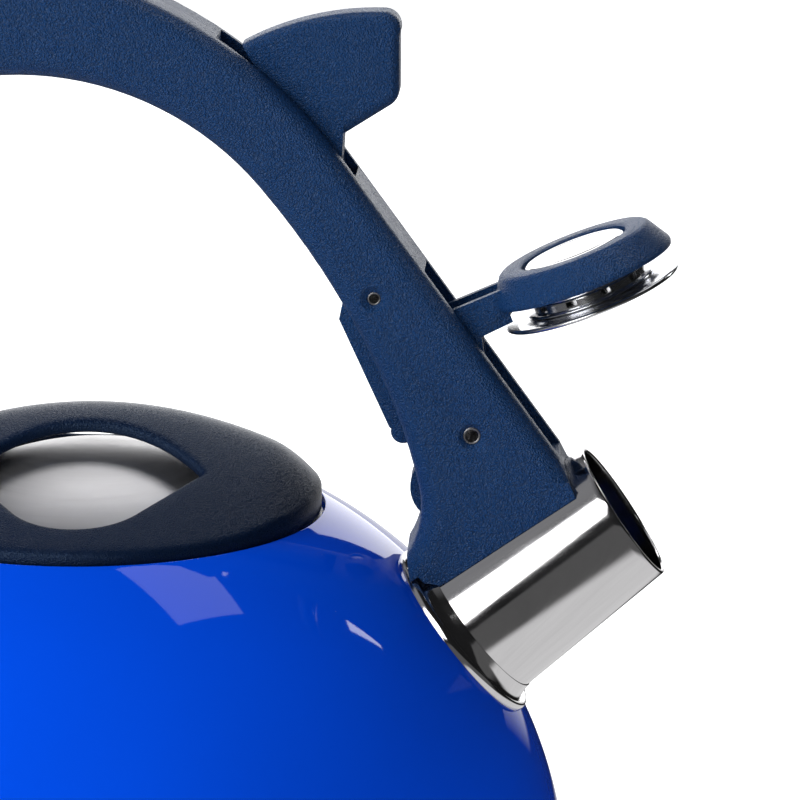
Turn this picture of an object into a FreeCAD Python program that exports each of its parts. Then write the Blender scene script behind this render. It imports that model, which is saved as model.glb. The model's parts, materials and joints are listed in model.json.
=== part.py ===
import FreeCAD, Part
import math
import os
from FreeCAD import Placement, Rotation, Vector

# A stovetop whistling kettle.  +X points along the spout, +Z is up, and the
# origin is the middle of the base, on the surface that the kettle stands on.
# All sizes are in millimetres.

# ---- body -------------------------------------------------------------
DOME_R = 109.5          # outer radius of the enamelled dome
DOME_Z = 38.0           # height of the dome's centre, the widest ring
SHOULDER_R = 45.0       # radius of the turn below the widest ring
WALL = 1.2              # thickness of the body's sheet
FLOOR_Z = 4.0           # underside of the body's floor
BASE_R = 90.0           # radius of the heat-spreading disc
SEAT_R = 52.8           # radius of the step that the lid drops into
SEAT_Z = 131.6          # height of the ledge that the lid rests on
MOUTH_R = 46.0          # radius of the filling hole

# ---- spout ------------------------------------------------------------
SPOUT_MOUTH = Vector(121.1, 0, 134.7)
SPOUT_RISE = 38.5       # angle of the spout's axis above level
MOUTH_RISE = 34.5       # angle of the mouth's own normal above level
SPOUT_R = 16.9          # outer radius at the mouth
SPOUT_TAPER = 2.75      # half angle of the taper
SPOUT_WALL = 1.0
FLANGE_BACK = 45.5      # from the mouth back to the ring that joins the body
FLANGE_R = 22.5
POUR_HOLE_R = 3.5       # one hole of the strainer behind the spout
POUR_PITCH = 9.0

# ---- lid and knob -----------------------------------------------------
LID_R = 52.2
LID_SHEET = 1.0
LID_TOP_Z = 149.0       # the top of the lid's round crown
CROWN_FOOT_R = 44.4     # where the crown meets the lid's flat rim
LID_GAP = 0.3           # between the lid and the knob's edge
COLLAR_R = 45.4
COLLAR_DEPTH = 11.0
KNOB_R = 52.0
KNOB_TOP = 158.6        # height of the ridge at the middle of the lid
KNOB_WALL = 3.2
BRIDGE_HALF = 9.0       # half of the bridge's width at its narrowest
WINDOW_TIP = (27.0, 20.3)       # X and Y of the finger window's pointed end
WINDOW_SHOULDER = (14.0, 36.8)  # where its straight side turns into its round one
KNOB_SCREW_TILT = 32.0  # the knob's screws stand square to the lid's crown
KNOB_SCREW_R = 1.5

# ---- handle -----------------------------------------------------------
HANDLE_HALF = 13.0      # half of the handle's width
HANDLE_EDGE = 4.5       # rounding along its edges
CAVITY_HALF = 6.7       # half width of the slot that the lever runs in
SADDLE_GAP = 0.15       # between the handle's foot and the steel
TAB_SCREW = (91.0, 139.0)               # X and Z, through the bracket's tab
HANDLE_SCREWS = [(-74.0, 227.0), (-16.0, 248.0), TAB_SCREW]
FIXING_Y = 4.6          # the screw that comes in from behind, along X
FIXING_Z = 139.4
FIXING_R = 1.6
FIXING_BOSS_X = 80.6

# ---- pour mechanism ---------------------------------------------------
LEVER_PIVOT = Vector(64.7, 0, 185.6)
CAP_PIVOT = Vector(86.6, 0, 154.4)
CAP_SWING = 77.0        # how far the cap turns from shut to open
PEG_RADIUS = 7.4        # from the cap's pivot to the peg that drives it
PEG_R = 1.5
PIN_R = 1.5
CAP_PIN_R = 2.0
RUNNING = 0.06          # radial play of a turning fit
FIN_R = 63.2            # the thumb fin's top edge, about the lever's pivot
LEVER_PLATE = 3.2       # half thickness of the lever's lower arm
FIN_HALF = 6.0          # half thickness of the thumb fin
ARM_HALF = 6.2          # half width of the cap's channel arm
ARM_INSIDE = 4.0
CAP_R = 21.2            # the cap's rim
CAP_TOP_R = 18.0
CAP_RIM_Z = 6.0         # the rim above the spout's mouth when shut
CAP_TOP_Z = 12.8
DISC_R = 20.8
INSERT_R = 12.4

CROWN_RISE = LID_TOP_Z - SEAT_Z - LID_SHEET
CROWN_R = (CROWN_FOOT_R ** 2 + CROWN_RISE ** 2) / (2 * CROWN_RISE)
CROWN_CENTRE = Vector(0, 0, LID_TOP_Z - CROWN_R)

X_AXIS = Vector(1, 0, 0)
Y_AXIS = Vector(0, 1, 0)
MINUS_Y = Vector(0, -1, 0)


# ---- small helpers ----------------------------------------------------
def at(x, z, y=0.0):
    return Vector(x, y, z)


def polar(centre, radius, degrees):
    """The point at an angle about centre, in the XZ plane."""
    a = math.radians(degrees)
    return centre + Vector(radius * math.cos(a), 0, radius * math.sin(a))


def trace(start, heading, steps):
    """A closed face in the XZ plane.  Each step is a kind, x and z: 'line' is
    straight, 'bend' is the arc that leaves along the heading so far, and a
    number is the arc that leaves a corner at that many degrees."""
    edges = []
    here, angle = start, math.radians(heading)
    for kind, x, z in steps:
        there = at(x, z)
        chord = there - here
        toward = math.atan2(chord.z, chord.x)
        if kind != "line":
            angle = angle if kind == "bend" else math.radians(kind)
            turn = (toward - angle + math.pi) % (2 * math.pi) - math.pi
            reach = chord.Length / (2 * math.cos(turn / 2))
            half = angle + turn / 2
            middle = here + Vector(reach * math.cos(half), 0, reach * math.sin(half))
            edges.append(Part.Arc(here, middle, there).toShape())
            angle += 2 * turn
        else:
            edges.append(Part.LineSegment(here, there).toShape())
            angle = toward
        here = there
    if here.distanceToPoint(start) > 1e-6:
        edges.append(Part.LineSegment(here, start).toShape())
    return Part.Face(Part.Wire(edges))


def polygon(points):
    corners = [at(x, z) for x, z in points]
    return Part.Face(Part.makePolygon(corners + corners[:1]))


def slab(face, y0, y1):
    """A face of the XZ plane made solid between two values of Y."""
    moved = face.copy()
    moved.translate(Vector(0, y0, 0))
    return moved.extrude(Vector(0, y1 - y0, 0))


def turned(points):
    """A solid of revolution about Z from (radius, height) corners."""
    return polygon(points).revolve(Vector(0, 0, 0), Vector(0, 0, 1), 360)


def rod(centre, radius, y0, y1):
    """A round bar along Y."""
    start = Vector(centre.x, y0, centre.z)
    return Part.makeCylinder(radius, y1 - y0, start, Y_AXIS)


def ball(radius):
    return Part.makeSphere(radius, Vector(0, 0, DOME_Z))


def in_spout_frame(shape):
    """From local Z along the spout, with zero at its mouth."""
    placed = shape.copy()
    placed.Placement = Placement(SPOUT_MOUTH, Rotation(Y_AXIS, 90 - SPOUT_RISE))
    return placed


def in_mouth_frame(shape):
    """From local Z square to the mouth, with zero at the mouth's middle."""
    placed = shape.copy()
    placed.Placement = Placement(SPOUT_MOUTH, Rotation(Y_AXIS, 90 - MOUTH_RISE))
    return placed


def opened(shape):
    """A part of the cap, swung from the mouth to the open rest position."""
    swung = shape.copy()
    swung.rotate(CAP_PIVOT, MINUS_Y, CAP_SWING)
    return swung


def spout_radius(back):
    return SPOUT_R + back * math.tan(math.radians(SPOUT_TAPER))


def spout_cone(offset, front, back):
    """The spout's outer cone grown by offset, between two distances behind
    the mouth (a negative front reaches past it)."""
    length = back - front
    cone = Part.makeCone(
        spout_radius(back) + offset, spout_radius(front) + offset, length,
        Vector(0, 0, -back),
    )
    return in_spout_frame(cone)


def single(shape):
    """The one solid of a result, as a solid."""
    if len(shape.Solids) != 1:
        raise ValueError("expected one solid, got %d" % len(shape.Solids))
    return shape.Solids[0]


# ---- body -------------------------------------------------------------
def body_solid(inset):
    """The whole round body as if it were solid, a distance inside the outer
    surface: a flat floor, the turn below the widest ring, and the dome."""
    radius = DOME_R - inset
    turn = SHOULDER_R - inset
    middle = DOME_R - SHOULDER_R
    floor = FLOOR_Z + inset
    foot = middle + math.sqrt(turn ** 2 - (DOME_Z - floor) ** 2)
    low = math.radians(-25)
    edges = [
        Part.LineSegment(at(0, floor), at(foot, floor)).toShape(),
        Part.Arc(
            at(foot, floor),
            at(middle + turn * math.cos(low), DOME_Z + turn * math.sin(low)),
            at(radius, DOME_Z),
        ).toShape(),
        Part.Arc(
            at(radius, DOME_Z),
            at(radius * math.cos(math.pi / 4), DOME_Z + radius * math.sin(math.pi / 4)),
            at(0, DOME_Z + radius),
        ).toShape(),
        Part.LineSegment(at(0, DOME_Z + radius), at(0, floor)).toShape(),
    ]
    face = Part.Face(Part.Wire(edges))
    return face.revolve(Vector(0, 0, 0), Vector(0, 0, 1), 360)


def strainer_places():
    """Seven holes, one in the middle of six, square to the dome."""
    places = [(0.0, 0.0)]
    for k in range(6):
        a = math.radians(60 * k)
        places.append((POUR_PITCH * math.cos(a), POUR_PITCH * math.sin(a)))
    return places


def make_body_shell():
    shell = body_solid(0).cut(body_solid(WALL))
    # the stepped seat for the lid: a short wall, a ledge and a turned-down lip
    opening = Part.makeCylinder(SEAT_R + WALL, 60, Vector(0, 0, SEAT_Z - WALL))
    seat = turned([
        (SEAT_R, DOME_Z + math.sqrt(DOME_R ** 2 - SEAT_R ** 2)),
        (SEAT_R, SEAT_Z), (MOUTH_R, SEAT_Z), (MOUTH_R, SEAT_Z - 5.0),
        (MOUTH_R + WALL, SEAT_Z - 5.0), (MOUTH_R + WALL, SEAT_Z - WALL),
        (SEAT_R + WALL, SEAT_Z - WALL),
        (SEAT_R + WALL, DOME_Z + math.sqrt(DOME_R ** 2 - (SEAT_R + WALL) ** 2)),
    ])
    shell = shell.cut(opening).fuse(seat)
    for across, along in strainer_places():
        hole = Part.makeCylinder(POUR_HOLE_R, 12, Vector(across, along, -FLANGE_BACK - 8))
        shell = shell.cut(in_spout_frame(hole))
    return single(shell)


def make_base_disc():
    """The thick disc under the floor that spreads the heat, its rim rounded."""
    disc = Part.makeCylinder(BASE_R, FLOOR_Z)
    rim = [e for e in disc.Edges if e.Curve.TypeId == "Part::GeomCircle" and e.BoundBox.ZMax < 0.1]
    return single(disc.makeFillet(1.8, rim))


# ---- spout ------------------------------------------------------------
def mouth_cutter():
    """Everything in front of the mouth's plane."""
    return in_mouth_frame(Part.makeBox(80, 80, 40, Vector(-40, -40, 0)))


def make_spout_tube():
    tube = spout_cone(0, -6, FLANGE_BACK + 8).cut(spout_cone(-SPOUT_WALL, -7, FLANGE_BACK + 9))
    return single(tube.cut(mouth_cutter()).cut(ball(DOME_R)))


def make_spout_flange():
    """The ring around the spout's root, with a rolled outer lip."""
    back = FLANGE_BACK
    ring = turned([
        (spout_radius(back - 3.0), -back + 3.0), (spout_radius(back) + 1.6, -back + 0.6),
        (FLANGE_R - 1.8, -back + 0.2), (FLANGE_R - 1.0, -back + 0.7),
        (FLANGE_R - 0.2, -back + 0.2), (FLANGE_R, -back - 0.8),
        (FLANGE_R, -back - 6.0), (spout_radius(back) - 0.6, -back - 6.0),
    ])
    ring = in_spout_frame(ring)
    return single(ring.cut(spout_cone(0, -6, back + 12)).cut(ball(DOME_R)))


def flange_room():
    """The room that the flange takes up at the handle's foot."""
    back = FLANGE_BACK
    root = spout_radius(back)
    return in_spout_frame(turned([
        (0, -back - 11), (FLANGE_R + 0.4, -back - 11), (FLANGE_R + 0.4, -back + 1.0),
        (root + 2.2, -back + 1.2), (root + 0.4, -back + 3.4), (0, -back + 3.4),
    ]))


# ---- lid --------------------------------------------------------------
def crown_ball(offset):
    """The ball that the lid's crown is part of, grown by offset."""
    return Part.makeSphere(CROWN_R + offset, CROWN_CENTRE)


def on_crown(shape, side):
    """From local Z out of the middle of the crown's ball, with zero at the
    lid's upper face, to one of the knob's two screws."""
    placed = shape.copy()
    placed.translate(CROWN_CENTRE + Vector(0, 0, CROWN_R))
    placed.rotate(CROWN_CENTRE, Y_AXIS, side * KNOB_SCREW_TILT)
    return placed


def make_lid_pan():
    """The satin steel lid: a flat rim that rests on the ledge, and a round
    crown that fills the knob's windows."""
    above = Part.makeCylinder(LID_R, 60, Vector(0, 0, SEAT_Z))
    crown = crown_ball(0).common(above)
    rim = Part.makeCylinder(LID_R, LID_SHEET, Vector(0, 0, SEAT_Z))
    pan = crown.fuse(rim).cut(crown_ball(-LID_SHEET))
    for side in (-1, 1):
        hole = Part.makeCylinder(KNOB_SCREW_R + 0.1, 6, Vector(0, 0, -3))
        pan = pan.cut(on_crown(hole, side))
    return single(pan.removeSplitter())


def make_lid_collar():
    """The skirt under the lid that stands in the filling hole."""
    foot, inside = SEAT_Z - COLLAR_DEPTH, COLLAR_R - 0.8
    return single(turned([(inside, foot), (COLLAR_R, foot), (COLLAR_R, SEAT_Z), (inside, SEAT_Z)]))


def knob_height(x, y):
    """Height of the knob's top: an arched ridge along X that falls away on
    both sides like a roof, and turns down at its two tips."""
    ridge = KNOB_TOP - x * x / 192
    roof = math.sqrt(0.22 * y * y + 9) - 3
    tip = 0.028 * max(0.0, abs(x) - 40) ** 2
    return ridge - roof - tip


def knob_sheet(drop):
    """The knob's top surface, lowered by drop, extruded down to a solid."""
    span = [-60 + 6 * k for k in range(21)]
    grid = [[Vector(x, y, knob_height(x, y) - drop) for y in span] for x in span]
    surface = Part.BSplineSurface()
    surface.interpolate(grid)
    return surface.toShape().extrude(Vector(0, 0, -60))


def window_cutter(side):
    """One finger window beside the bridge: a long curve along the bridge
    between two pointed ends, two straight sides, and a round outer side."""
    tip_x, tip_y = WINDOW_TIP
    turn_x, turn_y = WINDOW_SHOULDER
    slope = math.atan2(turn_y - tip_y, tip_x - turn_x)
    outer_y = turn_y + turn_x * math.tan(slope / 2)

    def spot(x, y):
        return Vector(x, y, 120)

    face = Part.Face(Part.Wire([
        Part.Arc(spot(-tip_x, tip_y), spot(0, BRIDGE_HALF), spot(tip_x, tip_y)).toShape(),
        Part.LineSegment(spot(tip_x, tip_y), spot(turn_x, turn_y)).toShape(),
        Part.Arc(spot(turn_x, turn_y), spot(0, outer_y), spot(-turn_x, turn_y)).toShape(),
        Part.LineSegment(spot(-turn_x, turn_y), spot(-tip_x, tip_y)).toShape(),
    ]))
    window = face.extrude(Vector(0, 0, 60))
    at_tips = [
        e for e in window.Edges
        if e.BoundBox.XLength < 0.01 and e.BoundBox.YLength < 0.01 and abs(e.BoundBox.Center.x) > tip_x - 1
    ]
    window = window.makeFillet(1.2, at_tips)
    if side < 0:
        window = window.mirror(Vector(0, 0, 0), Y_AXIS)
    return window


def make_lid_knob():
    rim = Part.makeCylinder(KNOB_R, 60, Vector(0, 0, 110))
    knob = knob_sheet(0).common(rim).cut(knob_sheet(KNOB_WALL))
    for side in (-1, 1):
        knob = knob.cut(window_cutter(side))
    below = Part.makeCylinder(60, SEAT_Z + LID_SHEET + LID_GAP - 100, Vector(0, 0, 100))
    dome = Part.makeSphere(DOME_R + 0.35, Vector(0, 0, DOME_Z))
    skirt = dome.cut(Part.makeCylinder(SEAT_R - 0.3, 200))
    knob = knob.cut(below).cut(skirt)
    for side in (-1, 1):
        boss = on_crown(Part.makeCylinder(4.5, 14), side).common(knob_sheet(1.5))
        knob = knob.fuse(boss.cut(crown_ball(0.02)))
        knob = knob.cut(on_crown(Part.makeCylinder(KNOB_SCREW_R, 8.5, Vector(0, 0, -1)), side))
    return single(knob)


def make_knob_screws():
    """Two pan-head screws out through the lid into the knob's bosses."""
    screws = []
    for side in (-1, 1):
        head = Part.makeCylinder(3.2, 2.0, Vector(0, 0, -LID_SHEET - 2.0))
        head = on_crown(head, side).common(crown_ball(-LID_SHEET - 0.02))
        shank = on_crown(Part.makeCylinder(KNOB_SCREW_R, 8.0, Vector(0, 0, -LID_SHEET - 0.5)), side)
        screws.append(head.fuse(shank).removeSplitter())
    return Part.makeCompound(screws)


# ---- handle -----------------------------------------------------------
def handle_outline():
    """Side view of the handle: it stands on the spout, rises steeply, arches
    back over the lid and ends in a free rounded tip."""
    return trace(at(-14, 234.9), 0, [
        ("bend", 39.1, 210.1), ("bend", 66.0, 167.6), ("bend", 74.6, 142.0),
        ("bend", 74.9, 134.5), ("bend", 71.9, 126.0), ("line", 73.4, 116.0),
        ("line", 112.9, 139.6), ("line", 57.2, 216.6), ("bend", 28.0, 244.2),
        ("bend", -26.0, 261.8), ("bend", -60.0, 253.0), ("bend", -96.0, 223.7),
        ("bend", -75.6, 205.569), ("bend", -14, 234.9),
    ])


def soft_edges(solid, face_y):
    """Edges of the handle's outer face that are rounded by hand-friendly
    radii: all but those of its foot, which meet the steel."""
    edges = []
    for edge in solid.Edges:
        box = edge.BoundBox
        on_face = abs(box.YMin - face_y) < 1e-4 and abs(box.YMax - face_y) < 1e-4
        at_foot = box.ZMax < 126.5 or box.ZMin < 117
        if on_face and not at_foot:
            edges.append(edge)
    return edges


def mechanism_cavity():
    """The slot that the lever and the cap's arm move in: open at the top for
    the thumb fin, and open to the front and back of the leg lower down."""
    tip = polar(LEVER_PIVOT, FIN_R + 1.6, 136.0)
    lip = polar(LEVER_PIVOT, FIN_R + 1.6, 122.8)
    face = trace(at(tip.x, tip.z), 46, [
        ("bend", lip.x, lip.z), ("line", 29.5, 250.0), ("line", 64.0, 224.0),
        ("line", 59.4, 209.2), ("line", 73.3, 190.0), ("line", 92.0, 197.0),
        ("line", 122.0, 150.0), ("line", 103.0, 148.3), ("line", 60.0, 148.3),
        ("line", 46.0, 187.0), ("line", 57.2, 188.6), (122, 41.0, 211.7),
        ("bend", tip.x, tip.z),
    ])
    return slab(face, -CAVITY_HALF, CAVITY_HALF)


def bracket_pocket():
    return slab(polygon([(80, 118), (104, 132), (104, 144.4), (84, 144.4)]), -1.6, 1.6)


def handle_half(side):
    """One moulded half, split at the middle plane; side is -1 or 1."""
    inner, outer = (-HANDLE_HALF, 0) if side < 0 else (0, HANDLE_HALF)
    block = slab(handle_outline(), inner, outer)
    toe_tip = Part.makeBox(12, 40, 14, Vector(102.5, -20, 130.0)).common(block)
    block = block.makeFillet(HANDLE_EDGE, soft_edges(block, side * HANDLE_HALF)).fuse(toe_tip)
    block = block.cut(mechanism_cavity())
    toe = polygon([(111.0, 138.6), (106.3, 148.4), (110.0, 152.0), (122.0, 140.0)])
    block = block.cut(slab(toe, -20, 20))
    block = block.cut(spout_cone(SADDLE_GAP, -10, FLANGE_BACK + 10))
    block = block.cut(flange_room()).cut(ball(DOME_R + 0.5))
    block = block.cut(bracket_pocket())
    for pivot, radius in ((LEVER_PIVOT, PIN_R), (CAP_PIVOT, CAP_PIN_R)):
        block = block.cut(rod(pivot, radius, -20, 20))
        face = side * HANDLE_HALF
        dish = Part.makeCone(3.1, radius, 1.1, Vector(pivot.x, face, pivot.z), Vector(0, -side, 0))
        block = block.cut(dish)
    for x, z in HANDLE_SCREWS:
        reach = 8.0 if side < 0 else HANDLE_HALF
        block = block.cut(rod(at(x, z), 1.5, -reach, HANDLE_HALF))
        block = block.cut(rod(at(x, z), 3.2, 10.0, HANDLE_HALF + 1))
    return block


def make_handle_near_half():
    return single(handle_half(-1))


def make_handle_far_half():
    """The far half also carries the rounded boss that the fixing screw
    enters from behind."""
    boss = rod(at(FIXING_BOSS_X, FIXING_Z), 8.3, 0, 9.0)
    entry = Vector(70, FIXING_Y, FIXING_Z)
    half = handle_half(1).fuse(boss)
    half = half.cut(bracket_pocket())
    half = half.cut(Part.makeCylinder(FIXING_R, 16, entry, X_AXIS))
    half = half.cut(Part.makeCylinder(3.1, 3.6, entry, X_AXIS))
    half = half.cut(rod(at(*TAB_SCREW), 1.5, 0, HANDLE_HALF))
    return single(half)


def make_handle_bracket():
    """The steel tab welded along the spout that the handle is screwed to."""
    tab = slab(polygon([(81.5, 116), (103, 130), (103, 143.8), (85, 143.8)]), -1.2, 1.2)
    tab = tab.cut(spout_cone(0, -10, FLANGE_BACK + 10)).cut(ball(DOME_R + 0.5))
    tab = tab.cut(flange_room()).cut(rod(at(*TAB_SCREW), 1.5, -20, 20))
    return single(tab)


def make_handle_screws():
    """Three countersunk screws that pull the two halves together."""
    screws = []
    for x, z in HANDLE_SCREWS:
        shank = rod(at(x, z), 1.5, -8.0, 10.5)
        head = rod(at(x, z), 3.1, 10.0, 12.2)
        drive = Part.makeBox(4.2, 0.9, 0.8, Vector(x - 2.1, 11.5, z - 0.4))
        screws.append(head.fuse(shank).cut(drive))
    return Part.makeCompound(screws)


def make_handle_fixing_screw():
    """The screw behind the handle that holds it to the spout's bracket."""
    shank = Part.makeCylinder(FIXING_R, 12.4, Vector(73.6, FIXING_Y, FIXING_Z), X_AXIS)
    head = Part.makeCylinder(3.0, 1.9, Vector(71.7, FIXING_Y, FIXING_Z), X_AXIS)
    return single(head.fuse(shank))


# ---- trigger ----------------------------------------------------------
def peg_centre():
    """Where the driving peg stands with the cap open: half the swing past
    the line from one pivot to the other."""
    line = LEVER_PIVOT - CAP_PIVOT
    middle = math.degrees(math.atan2(line.z, line.x))
    return polar(CAP_PIVOT, PEG_RADIUS, middle + CAP_SWING / 2)


def trigger_swing():
    """How far the lever turns while the peg goes from open to shut."""
    gap = CAP_PIVOT.distanceToPoint(LEVER_PIVOT)
    half = math.radians(CAP_SWING / 2)
    side = PEG_RADIUS * math.sin(half)
    return 2 * math.degrees(math.atan(side / (gap - PEG_RADIUS * math.cos(half))))


def make_trigger_lever():
    """The thumb fin, its stem, the pivot boss and the forked lower arm."""
    tip = polar(LEVER_PIVOT, FIN_R, 117.9)
    nose = polar(LEVER_PIVOT, FIN_R, 88.2)
    fin = trace(at(tip.x, tip.z), 27.9, [
        ("bend", nose.x, nose.z), ("bend", 70.1, 243.6), ("line", 70.1, 231.6),
        ("bend", 68.0, 227.9), ("line", 57.6, 221.4), ("line", 57.2, 215.0),
        ("line", 58.6, 209.0), ("line", 67.0, 197.4), ("line", 67.4, 190.0),
        ("line", 59.6, 190.4), ("line", 56.2, 202.0), ("bend", 45.9, 226.2),
        ("line", 37.7, 237.3),
    ])
    fin = slab(fin, -FIN_HALF, FIN_HALF)
    long_edges = [
        e for e in fin.Edges
        if abs(e.BoundBox.YLength) < 1e-4 and e.BoundBox.ZMin > 221.0 and e.BoundBox.XMax > 57.0
    ]
    fin = fin.makeFillet(2.4, long_edges)
    boss = rod(LEVER_PIVOT, 6.2, -FIN_HALF, FIN_HALF)
    arm = make_lever_arm()
    lever = fin.fuse(boss).fuse(arm)
    return single(lever.cut(rod(LEVER_PIVOT, PIN_R + RUNNING, -20, 20)))


def make_lever_arm():
    """The lower arm: a plate as wide as the back slot, ending in a fork that
    the peg slides in and a rounded nub behind."""
    peg = peg_centre()
    down = (peg - LEVER_PIVOT).normalize()
    side = Vector(-down.z, 0, down.x)

    def place(along, across):
        return LEVER_PIVOT + down * along + side * across

    corners = [(-4.0, -5.6), (2.0, -10.4), (29.4, -11.6), (34.2, -8.6), (34.2, 4.6), (3.0, 5.2)]
    points = [place(a, b) for a, b in corners]
    plate = slab(Part.Face(Part.makePolygon(points + points[:1])), -LEVER_PLATE, LEVER_PLATE)
    nub = rod(place(31.6, -9.2), 2.8, -LEVER_PLATE, LEVER_PLATE)
    slot = [place(a, b) for a, b in ((27.4, -2.1), (27.4, 2.1), (40, 2.1), (40, -2.1))]
    gate = slab(Part.Face(Part.makePolygon(slot + slot[:1])), -20, 20)
    clear = rod(CAP_PIVOT, 3.7, -20, 20)
    return plate.fuse(nub).cut(gate).cut(clear)


def make_trigger_pivot_pin():
    return single(rod(LEVER_PIVOT, PIN_R, -HANDLE_HALF + 1.2, HANDLE_HALF - 1.2))


def make_trigger_washers():
    """Two spring washers beside the lever that make it stay where it is."""
    washers = []
    for side in (-1, 1):
        low, high = sorted((side * (FIN_HALF + 0.1), side * (CAVITY_HALF - 0.1)))
        washer = rod(LEVER_PIVOT, 4.2, low, high).cut(rod(LEVER_PIVOT, PIN_R, -20, 20))
        washers.append(washer)
    return Part.makeCompound(washers)


# ---- cap and whistle --------------------------------------------------
def make_cap_arm():
    """The cap's ring and its bent channel arm, moulded in one."""
    ring = turned([
        (0, CAP_TOP_Z - 2.6), (0, CAP_TOP_Z - 1.4), (INSERT_R + 0.15, CAP_TOP_Z - 1.4),
        (INSERT_R + 0.15, CAP_TOP_Z - 0.3), (INSERT_R + 0.9, CAP_TOP_Z), (CAP_TOP_R - 0.8, CAP_TOP_Z),
        (CAP_TOP_R, CAP_TOP_Z - 0.5), (CAP_R - 0.2, CAP_RIM_Z + 1.4), (CAP_R, CAP_RIM_Z + 0.8),
        (CAP_R - 0.2, CAP_RIM_Z), (CAP_R - 2.0, CAP_RIM_Z), (CAP_TOP_R - 1.6, CAP_TOP_Z - 2.6),
    ])
    ring = opened(in_mouth_frame(ring))
    peg = peg_centre()
    leg = trace(at(96.6, 188.2), 205, [
        ("line", 80.6, 181.3), ("bend", 78.4, 178.4), ("line", 80.4, 163.0),
        ("line", peg.x - 3.6, peg.z + 0.4), ("bend", peg.x + 0.6, peg.z - 3.6),
        ("line", 86.0, CAP_PIVOT.z - 4.9), ("bend", 91.4, CAP_PIVOT.z + 1.0),
        ("line", 88.6, 176.0), ("line", 96.0, 179.6),
    ])
    walls = []
    for side in (-1, 1):
        low, high = sorted((side * ARM_INSIDE, side * ARM_HALF))
        walls.append(slab(leg, low, high))
    web = slab(polygon([(88.6, 175.9), (97.0, 180.1), (96.6, 182.0), (86.8, 177.0)]), -ARM_HALF, ARM_HALF)
    barrel = rod(CAP_PIVOT, 3.3, -ARM_INSIDE - 0.5, ARM_INSIDE + 0.5)
    hollow = opened(in_mouth_frame(turned([
        (0, CAP_RIM_Z - 8), (CAP_R - 2.0, CAP_RIM_Z - 8), (CAP_R - 2.0, CAP_RIM_Z),
        (CAP_TOP_R - 1.6, CAP_TOP_Z - 2.6), (0, CAP_TOP_Z - 2.6),
    ])))
    above = opened(in_mouth_frame(Part.makeCylinder(CAP_TOP_R, 9, Vector(0, 0, CAP_TOP_Z - 1.4))))
    inset = opened(in_mouth_frame(Part.makeCylinder(INSERT_R + 0.15, 9, Vector(0, 0, CAP_TOP_Z - 1.4))))
    arm = walls[0].fuse([walls[1], web, barrel]).cut(hollow).cut(above)
    whole = arm.fuse(ring).cut(inset)
    whole = whole.cut(rod(CAP_PIVOT, CAP_PIN_R + RUNNING, -20, 20))
    return single(whole.cut(rod(peg, PEG_R, -20, 20)))


def make_cap_insert_disc():
    """The mirror-bright disc let into the top of the cap, slightly crowned."""
    disc = turned([
        (0, CAP_TOP_Z - 1.4), (0, CAP_TOP_Z - 0.1), (INSERT_R * 0.5, CAP_TOP_Z - 0.2),
        (INSERT_R - 0.5, CAP_TOP_Z - 0.45), (INSERT_R, CAP_TOP_Z - 0.8), (INSERT_R, CAP_TOP_Z - 1.4),
    ])
    return single(opened(in_mouth_frame(disc)))


def make_whistle_disc():
    """The plate that closes the spout's mouth, with the steam hole."""
    disc = turned([
        (2.0, 0.5), (15.0, 0.5), (17.5, 0.1), (DISC_R - 0.6, 0.1), (DISC_R, 0.5),
        (DISC_R - 0.3, 1.2), (17.5, 1.0), (15.0, 1.3), (2.0, 1.3),
    ])
    return single(opened(in_mouth_frame(disc)))


def make_whistle_cup():
    """The chamber's lower shell, with its outward lip and side slots."""
    cup = turned([
        (1.6, 5.2), (1.6, 4.4), (11.4, 4.4), (12.4, 3.6), (12.4, 2.1), (15.0, 2.1),
        (15.2, 1.7), (15.0, 1.3), (13.4, 1.3), (13.2, 4.2), (12.0, 5.2),
    ])
    for k in range(10):
        slot = Part.makeBox(4.0, 2.6, 1.2, Vector(11.0, -1.3, 2.5))
        slot.rotate(Vector(0, 0, 0), Vector(0, 0, 1), 36 * k + 18)
        cup = cup.cut(slot)
    return single(opened(in_mouth_frame(cup)))


def make_whistle_cover():
    """The upper plate of the whistle, which the cap is riveted to."""
    cover = turned([
        (1.6, 5.2), (14.2, 5.2), (15.0, 5.7), (14.2, 6.2), (11.0, 6.2), (9.6, 7.4), (1.6, 7.4),
    ])
    return single(opened(in_mouth_frame(cover)))


def make_whistle_rivet():
    rivet = turned([
        (0, 3.2), (2.8, 3.2), (2.8, 4.4), (1.6, 4.4), (1.6, CAP_TOP_Z - 2.6), (0, CAP_TOP_Z - 2.6),
    ])
    return single(opened(in_mouth_frame(rivet)))


def make_cap_pivot_pin():
    return single(rod(CAP_PIVOT, CAP_PIN_R, -HANDLE_HALF + 1.2, HANDLE_HALF - 1.2))


def make_link_pin():
    return single(rod(peg_centre(), PEG_R, -ARM_HALF, ARM_HALF))


NODES = {
    "body_shell": make_body_shell,
    "base_disc": make_base_disc,
    "spout_tube": make_spout_tube,
    "spout_flange": make_spout_flange,
    "lid_pan": make_lid_pan,
    "lid_collar": make_lid_collar,
    "lid_knob": make_lid_knob,
    "knob_screws": make_knob_screws,
    "handle_near_half": make_handle_near_half,
    "handle_far_half": make_handle_far_half,
    "handle_bracket": make_handle_bracket,
    "handle_screws": make_handle_screws,
    "handle_fixing_screw": make_handle_fixing_screw,
    "trigger_lever": make_trigger_lever,
    "trigger_pivot_pin": make_trigger_pivot_pin,
    "trigger_washers": make_trigger_washers,
    "cap_arm": make_cap_arm,
    "cap_insert_disc": make_cap_insert_disc,
    "whistle_disc": make_whistle_disc,
    "whistle_cup": make_whistle_cup,
    "whistle_cover": make_whistle_cover,
    "whistle_rivet": make_whistle_rivet,
    "cap_pivot_pin": make_cap_pivot_pin,
    "link_pin": make_link_pin,
}

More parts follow.
